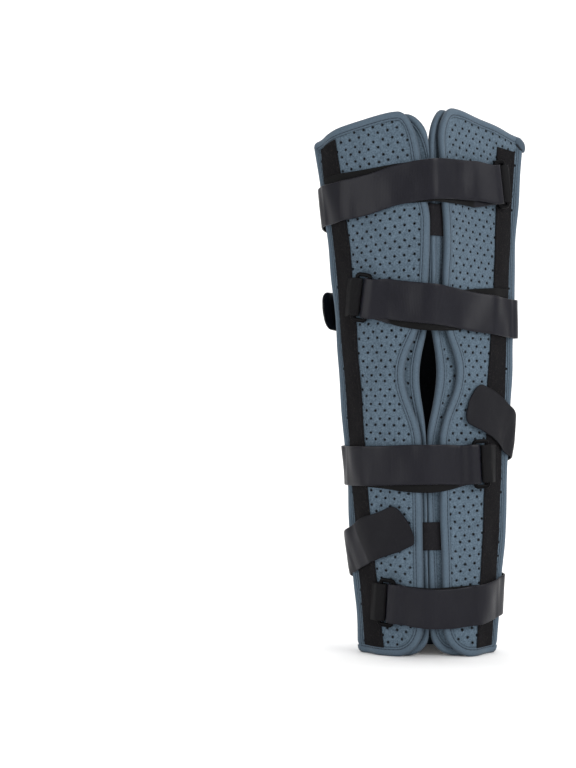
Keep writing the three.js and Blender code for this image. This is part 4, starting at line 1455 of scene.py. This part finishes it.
class Nodes:
    """Short calls for one shader node tree."""

    def __init__(self, tree: bpy.types.NodeTree) -> None:
        """Take the tree."""
        self.tree = tree

    def add(self, kind: str, sockets: dict | None = None, **settings: object) -> bpy.types.Node:
        """Add a node, give it settings, and set or link its inputs.

        Args:
            kind: type name of the node.
            sockets: inputs by name or number, each a value or a socket to link.
            settings: properties of the node.

        Returns:
            The node.
        """
        node = self.tree.nodes.new(kind)
        for name, value in settings.items():
            setattr(node, name, value)
        for name, value in (sockets or {}).items():
            if isinstance(value, bpy.types.NodeSocket):
                self.tree.links.new(value, node.inputs[name])
            else:
                node.inputs[name].default_value = value
        return node

    def maths(self, operation: str, a: object, b: object = 0.0, c: object = 0.0) -> bpy.types.NodeSocket:
        """Result of a math node."""
        return self.add("ShaderNodeMath", {0: a, 1: b, 2: c}, operation=operation).outputs[0]

    def ramp(
        self, value: object, begin: float, end: float, low: float = 0.0, high: float = 1.0
    ) -> bpy.types.NodeSocket:
        """A value between begin and end, mapped to low and high."""
        sockets = {0: value, 1: begin, 2: end, 3: low, 4: high}
        return self.add("ShaderNodeMapRange", sockets).outputs[0]

    def link(self, start: bpy.types.NodeSocket, end: bpy.types.NodeSocket) -> None:
        """Link an output to an input."""
        self.tree.links.new(start, end)

    def mix(self, share: object, a: object, b: object) -> bpy.types.NodeSocket:
        """Colour between a and b."""
        return self.add("ShaderNodeMix", {0: share, 6: a, 7: b}, data_type="RGBA").outputs[2]

    def noise(self, where: object, scale: float, detail: float) -> bpy.types.NodeSocket:
        """Value of a noise texture."""
        sockets = {"Vector": where, "Scale": scale, "Detail": detail}
        return self.add("ShaderNodeTexNoise", sockets).outputs[0]


def new_group(
    name: str, inputs: dict[str, str], outputs: list[str]
) -> tuple[Nodes, bpy.types.Node, bpy.types.Node]:
    """A shader node group with its input and output nodes."""
    tree = bpy.data.node_groups.new(name, "ShaderNodeTree")
    for label, kind in inputs.items():
        tree.interface.new_socket(name=label, in_out="INPUT", socket_type=kind)
    for label in outputs:
        tree.interface.new_socket(name=label, in_out="OUTPUT", socket_type="NodeSocketFloat")
    nodes = Nodes(tree)
    return nodes, nodes.add("NodeGroupInput"), nodes.add("NodeGroupOutput")


class Effects:
    """Shared node groups of the finishes. Noise scales are counts in a metre."""

    RIB_SHARE = 0.28
    CROSS_SHARE = 0.22
    BROAD_NOISE = (22.0, 2.0)
    FINE_NOISE = (700.0, 3.0)
    PILE_NOISE = (900.0, 4.0)
    LOOP_SCALE = 700.0
    LOOP_DEPTH = -0.6
    SPECKS = (0.58, 0.75)

    def __init__(self) -> None:
        """Make the groups."""
        self.weave = self._weave()
        self.drift = self._drift()
        self.pile = self._pile()

    def _weave(self) -> bpy.types.NodeTree:
        """Crossing threads: height of a weave with one pitch along the chart and one across it."""
        inputs = {"Chart": "NodeSocketVector", "Along": "NodeSocketFloat", "Across": "NodeSocketFloat"}
        nodes, start, end = new_group("cloth_weave", inputs, ["Height"])
        axes = nodes.add("ShaderNodeSeparateXYZ", {0: start.outputs["Chart"]}).outputs
        waves = []
        for axis, pitch in ((axes[0], "Along"), (axes[1], "Across")):
            turn = nodes.maths("DIVIDE", nodes.maths("MULTIPLY", axis, TAU), start.outputs[pitch])
            waves.append(nodes.maths("SINE", turn))
        crossed = nodes.maths("MULTIPLY", waves[0], waves[1])
        ribs = nodes.maths("MULTIPLY_ADD", waves[0], self.RIB_SHARE, 0.5)
        nodes.link(nodes.maths("MULTIPLY_ADD", crossed, self.CROSS_SHARE, ribs), end.inputs["Height"])
        return nodes.tree

    def _drift(self) -> bpy.types.NodeTree:
        """Change of shade over the cloth: a fine noise, with a share of a broad one."""
        inputs = {"Place": "NodeSocketVector", "Broad": "NodeSocketFloat"}
        nodes, start, end = new_group("shade_drift", inputs, ["Shade"])
        broad = nodes.noise(start.outputs["Place"], *self.BROAD_NOISE)
        fine = nodes.noise(start.outputs["Place"], *self.FINE_NOISE)
        step = nodes.maths("SUBTRACT", broad, fine)
        both = nodes.maths("MULTIPLY_ADD", step, start.outputs["Broad"], fine)
        nodes.link(both, end.inputs["Shade"])
        return nodes.tree

    def _pile(self) -> bpy.types.NodeTree:
        """Loop pile: rough height, and bright specks where loops stand up."""
        nodes, start, end = new_group("loop_pile", {"Place": "NodeSocketVector"}, ["Height", "Speck"])
        place = start.outputs["Place"]
        rough = nodes.noise(place, *self.PILE_NOISE)
        cells = nodes.add("ShaderNodeTexVoronoi", {"Vector": place, "Scale": self.LOOP_SCALE})
        height = nodes.maths("MULTIPLY_ADD", cells.outputs["Distance"], self.LOOP_DEPTH, rough)
        nodes.link(height, end.inputs["Height"])
        nodes.link(nodes.ramp(rough, *self.SPECKS), end.inputs["Speck"])
        return nodes.tree


@dataclass(frozen=True)
class Finish:
    """A cloth, webbing or plastic finish."""

    name: str
    dark: Colour
    light: Colour
    # colour where the mark is 1: painted shade, and the colour of thread, hook pads and hook patches
    marked: Colour
    roughness: float
    along: float = 1.2
    across: float = 1.2
    bump: float = 0.3
    depth: float = 0.00025
    sheen: float = 0.0
    specular: float = 0.3
    brushed: float = 0.0
    pile: bool = False
    gloss_drift: float = 0.0
    gloss_range: tuple[float, float] = (0.3, 0.7)
    mark_matt: float = 0.25
    sheen_roughness: float = 0.5
    speckle: float = 0.2
    broad: float = 0.35

    def material(self, effects: Effects) -> bpy.types.Material:
        """Build the material: shade drift in the colour, weave or pile in the bump, and the mark's colour.

        Args:
            effects: the shared node groups.

        Returns:
            The material.
        """
        material = bpy.data.materials.new(self.name)
        material.use_nodes = True
        nodes = Nodes(material.node_tree)
        material.node_tree.nodes.clear()
        place = nodes.add("ShaderNodeTexCoord").outputs["Object"]
        chart = nodes.add("ShaderNodeUVMap", uv_map=CHART).outputs[0]
        mark = nodes.add("ShaderNodeAttribute", attribute_name=MARK).outputs["Fac"]
        drift = nodes.add("ShaderNodeGroup", node_tree=effects.drift)
        nodes.link(place, drift.inputs["Place"])
        drift.inputs["Broad"].default_value = self.broad
        shade = drift.outputs["Shade"]
        if self.pile:
            grain = nodes.add("ShaderNodeGroup", node_tree=effects.pile)
            nodes.link(place, grain.inputs["Place"])
            share = grain.outputs["Speck"]
        else:
            grain = nodes.add("ShaderNodeGroup", node_tree=effects.weave)
            nodes.link(chart, grain.inputs["Chart"])
            grain.inputs["Along"].default_value = self.along
            grain.inputs["Across"].default_value = self.across
            share = nodes.ramp(shade, 0.5 - self.speckle, 0.5 + self.speckle)
        cloth = nodes.mix(share, (*self.dark, 1), (*self.light, 1))
        # The mark mixes in the marked colour up to 1 (painted shade, and the colour of thread and hook pads),
        # and painted deep shade above 1.
        painted_shade_and_trim = nodes.mix(mark, cloth, (*self.marked, 1))
        colour = nodes.mix(nodes.maths("SUBTRACT", mark, 1.0), painted_shade_and_trim, (*PAINTED_DEEP_SHADE, 1))
        heights = {"Height": grain.outputs["Height"], "Strength": self.bump, "Distance": self.depth}
        sockets = {
            "Base Color": colour,
            "Roughness": self.roughness,
            "Specular IOR Level": self.specular,
            "Normal": nodes.add("ShaderNodeBump", heights).outputs[0],
        }
        if self.sheen:
            sockets |= {"Sheen Weight": self.sheen, "Sheen Roughness": self.sheen_roughness}
        if self.brushed:
            tangent = nodes.add("ShaderNodeTangent", direction_type="UV_MAP", uv_map=CHART).outputs[0]
            sockets |= {"Anisotropic": self.brushed, "Tangent": tangent}
        if self.gloss_drift:
            low, high = self.roughness - self.gloss_drift, self.roughness + self.gloss_drift
            rough = nodes.ramp(shade, *self.gloss_range, low, high)
            sockets["Roughness"] = nodes.maths("MULTIPLY_ADD", mark, self.mark_matt, rough)
        shader = nodes.add("ShaderNodeBsdfPrincipled", sockets)
        nodes.add("ShaderNodeOutputMaterial", {"Surface": shader.outputs[0]})
        return material


# Its marked colour is painted shade: round the holes and beside the binding's edge.
FOAM_CLOTH = Finish(
    "foam_cloth", (0.044, 0.067, 0.091), (0.102, 0.147, 0.192), (0.004, 0.005, 0.007), 0.85,
    along=1.1, across=0.9, bump=0.4, sheen=0.1, specular=0.2, speckle=0.18, broad=0.1,
)
# Its marked colour is painted shade along the outline, beside the binding's edge.
LINING_CLOTH = Finish(
    "lining_cloth", (0.011, 0.012, 0.016), (0.026, 0.028, 0.034), (0.014, 0.015, 0.018), 0.95,
    bump=0.5, specular=0.1, pile=True,
)
# Its marked colour is painted shade on the rolled edge, in the groove and on the corner tucks, and the colour
# of the thread.
BINDING_TAPE = Finish(
    "binding_tape", (0.059, 0.088, 0.119), (0.076, 0.111, 0.147), (0.020, 0.031, 0.045), 0.8,
    along=0.9, across=2.4, bump=0.4, sheen=0.1, specular=0.25, speckle=0.15, broad=0.15,
)
LOOP_CLOTH = Finish(
    "loop_cloth", (0.0062, 0.0060, 0.0070), (0.034, 0.029, 0.026), (0.014, 0.0135, 0.0160), 0.95,
    bump=0.7, depth=0.0004, specular=0.1, pile=True,
)
WEBBING = Finish(
    "webbing", (0.0030, 0.0030, 0.0062), (0.0044, 0.0044, 0.0090), (0.0010, 0.0009, 0.0034), 0.36,
    along=1.5, across=1.1, bump=0.3, specular=0.22, brushed=0.45, gloss_drift=0.05,
)
RING_PLASTIC = Finish(
    "ring_plastic", (0.0016, 0.0016, 0.002), (0.0024, 0.0024, 0.003), (0.002, 0.002, 0.003), 0.32,
    along=7.0, across=9.0, bump=0.05, specular=0.05, gloss_drift=0.05,
)
PAPER = Finish(
    "studio_paper", (0.86, 0.86, 0.86), (0.9, 0.9, 0.9), (0.88, 0.88, 0.88), 0.9,
    along=3.0, across=3.0, bump=0.03, specular=0.1,
)


# Studio


@dataclass(frozen=True)
class Lamp:
    """A soft rectangular light, aimed at the middle of the brace unless it says otherwise."""

    name: str
    place: tuple[float, float, float]
    size: tuple[float, float]
    power: float
    target: tuple[float, float, float] = (0, 0, 260)

    def build(self) -> None:
        """Hang the light."""
        data = bpy.data.lights.new(self.name, "AREA")
        data.shape = "RECTANGLE"
        data.size, data.size_y = (side * MM for side in self.size)
        data.energy = self.power
        lamp = bpy.data.objects.new(self.name, data)
        lamp.location = Vector(self.place) * MM
        lamp.rotation_euler = (Vector(self.target) * MM - lamp.location).to_track_quat("-Z", "Y").to_euler()
        bpy.context.scene.collection.objects.link(lamp)


@dataclass
class Studio:
    """Pale floor that runs up into a backdrop, soft lights and the camera at the photograph's angle."""

    eye: tuple[float, float, float] = (10.9, -1760.6, 261.4)
    yaw: float = 4.556
    lens: float = 84.0
    sky: float = 0.52
    sensor: float = 36.0
    far_clip: float = 50.0
    paper_half: float = 4500.0
    paper_front: float = -4000.0
    paper_wall: float = 2000.0
    paper_top: float = 3200.0
    paper_bend: float = 600.0
    bend_points: int = 25
    paper_crease: float = 60.0
    lamps: tuple[Lamp, ...] = (
        Lamp("key_right", (1500, -1200, 1100), (1300, 1300), 27.0),
        Lamp("fill_left", (-1300, -1350, 450), (900, 900), 8.5),
        Lamp("front", (0, -2300, 1000), (1200, 1000), 3.0),
        Lamp("top", (0, -100, 1900), (1500, 1500), 8.0),
        Lamp("paper", (0, 500, 2300), (3000, 700), 45.0, (0, 2000, 500)),
    )

    def floor(self, material: bpy.types.Material) -> None:
        """The paper: a profile of floor, quarter circle and wall, swept sideways."""
        turn = np.linspace(0, math.pi / 2, self.bend_points)
        bend = self.paper_bend
        curve = self.paper_wall - bend + bend * np.sin(turn)
        y = np.concatenate([[self.paper_front], curve, [self.paper_wall]])
        z = np.concatenate([[0.0], bend - bend * np.cos(turn), [self.paper_top]])
        x = np.array([-self.paper_half, self.paper_half])
        points = np.stack(np.broadcast_arrays(x[:, None], y, z), -1).reshape(-1, 3)
        n = len(y)
        k = np.arange(n - 1)
        faces = np.concatenate([np.stack([k, k + n, k + 1], -1), np.stack([k + 1, k + n, k + n + 1], -1)])
        shell = Shell(points, faces, points[:, :2], np.zeros(len(points)))
        piece("paper_sweep", shell, material, self.paper_crease)

    def build(self, material: bpy.types.Material) -> None:
        """Lay the paper, hang the lights and set the camera."""
        scene = bpy.context.scene
        scene.view_settings.view_transform = "Standard"
        self.floor(material)
        for lamp in self.lamps:
            lamp.build()
        world = bpy.data.worlds.new("studio_air")
        world.use_nodes = True
        background = world.node_tree.nodes["Background"]
        background.inputs["Color"].default_value = (1.0, 1.0, 1.0, 1.0)
        background.inputs["Strength"].default_value = self.sky
        scene.world = world
        data = bpy.data.cameras.new("camera")
        data.sensor_fit = "VERTICAL"
        data.sensor_height = self.sensor
        data.lens = self.lens
        data.clip_end = self.far_clip
        camera = bpy.data.objects.new("camera", data)
        camera.location = Vector(self.eye) * MM
        camera.rotation_euler = (math.pi / 2, 0, math.radians(self.yaw))
        scene.collection.objects.link(camera)
        scene.camera = camera


# The brace

NO_HOLES = np.empty((0, 2))
# Closure tabs: middle, height, and reach to each side of the slit
CLOSURE_TABS = {"upper": (417, 30, 30), "lower": (116, 27, 24)}


@dataclass
class Brace:
    """The whole brace, built from the leg outwards."""

    form: LegForm
    effects: Effects
    punch: Perforation = Perforation()
    wrap_top: float = 520.0
    side_top: float = 524.0
    hole_margin: float = 3.0
    strip_margin: float = 2.0
    strip_head: float = 6.0

    def wrap_holes(self) -> Array:
        """Holes of the wrap where the side panels leave it open: the back, and the crescents at the knee."""
        holes = self.punch.on_wrap()
        x, z = holes[:, 0], np.clip(holes[:, 1], 0, self.wrap_top)
        left = self.form.half(z)
        reach = np.where(x < 0, left, self.form.length(z) - left) - np.abs(x)
        back = reach > self.form.panel(z) + SIDE_DEPTH - self.hole_margin
        front = np.where(x < 0, SIDE_SHAPES[Side.LEFT].front(z), SIDE_SHAPES[Side.RIGHT].front(z))
        knee = np.abs(holes[:, 1] - KNEE_MIDDLE) < KNEE_REACH
        return holes[back | (knee & (reach < front + self.hole_margin))]

    def side_holes(self, side: Side) -> Array:
        """Holes of a side panel, left out where the stay strip hides them."""
        holes = self.punch.on_side()
        middle = self.form.panel(np.clip(holes[:, 1], 0, self.side_top)) + STRIP_WIDTH / 2
        above = holes[:, 1] > SIDE_SHAPES[side].back_top - STRIP_DROPS[side] + self.strip_head
        return holes[(np.abs(holes[:, 0] - middle) > STRIP_WIDTH / 2 - self.strip_margin) | above]

    def build(self) -> None:
        """Make every piece in order."""
        foam, lining, tape, loop, web, plastic = (
            finish.material(self.effects)
            for finish in (FOAM_CLOTH, LINING_CLOTH, BINDING_TAPE, LOOP_CLOTH, WEBBING, RING_PLASTIC)
        )
        form = self.form
        back, edge = BackChart(form), WrapOutline(form)
        wrap = FoamWall(
            "wrap_foam", "wrap", form, back, edge, inner=-10.2, outer=-7, holes=self.wrap_holes(), grid=8.0
        )
        wrap.build(foam, Slot.FOAM)
        inside_wall = FoamWall(
            "wrap_lining_cloth", "wrap_lining", form, back, edge,
            inner=-11.4, outer=-10.5, holes=NO_HOLES, pinch=0.1,
        )
        sheet = inside_wall.build(lining, Slot.LINING)
        EdgeBinding(
            "wrap_tape", "wrap_binding", form, back, edge,
            inner=-11.9, outer=-6.5, slot_inner=-11.5, slot_outer=-7.2,
        ).build(tape)
        for side in Side:
            word = side.name.lower()
            chart, line = SideChart(side), SideOutline(form, side)
            wall = FoamWall(
                f"side_foam_{word}", f"side_panel_{word}", form, chart, line,
                inner=-4.2, outer=0, holes=self.side_holes(side), seed=4 + side.value,
            )
            wall.build(foam, Slot.FOAM)
            EdgeBinding(
                f"side_tape_{word}", f"side_binding_{word}", form, chart, line,
                inner=-4.5, outer=0.6, slot_inner=-4.05, slot_outer=-0.2, fold=TUCKS[side],
            ).build(tape)
            ClothStrip(f"stay_strip_cloth_{word}", f"stay_strip_{word}", form, side).build(loop)
        for word, sizes in CLOSURE_TABS.items():
            ClosureTab(f"closure_patch_{word}", f"closure_tab_{word}", form, *sizes).build(loop)
        for strap in straps_on(form):
            strap.build(web, plastic)


def main() -> None:
    """Build the brace and its studio."""
    logging.basicConfig(level=logging.INFO, format="%(name)s: %(message)s")
    effects = Effects()
    Brace(LegForm(), effects).build()
    Studio().build(PAPER.material(effects))


if __name__ == "__main__":
    main()
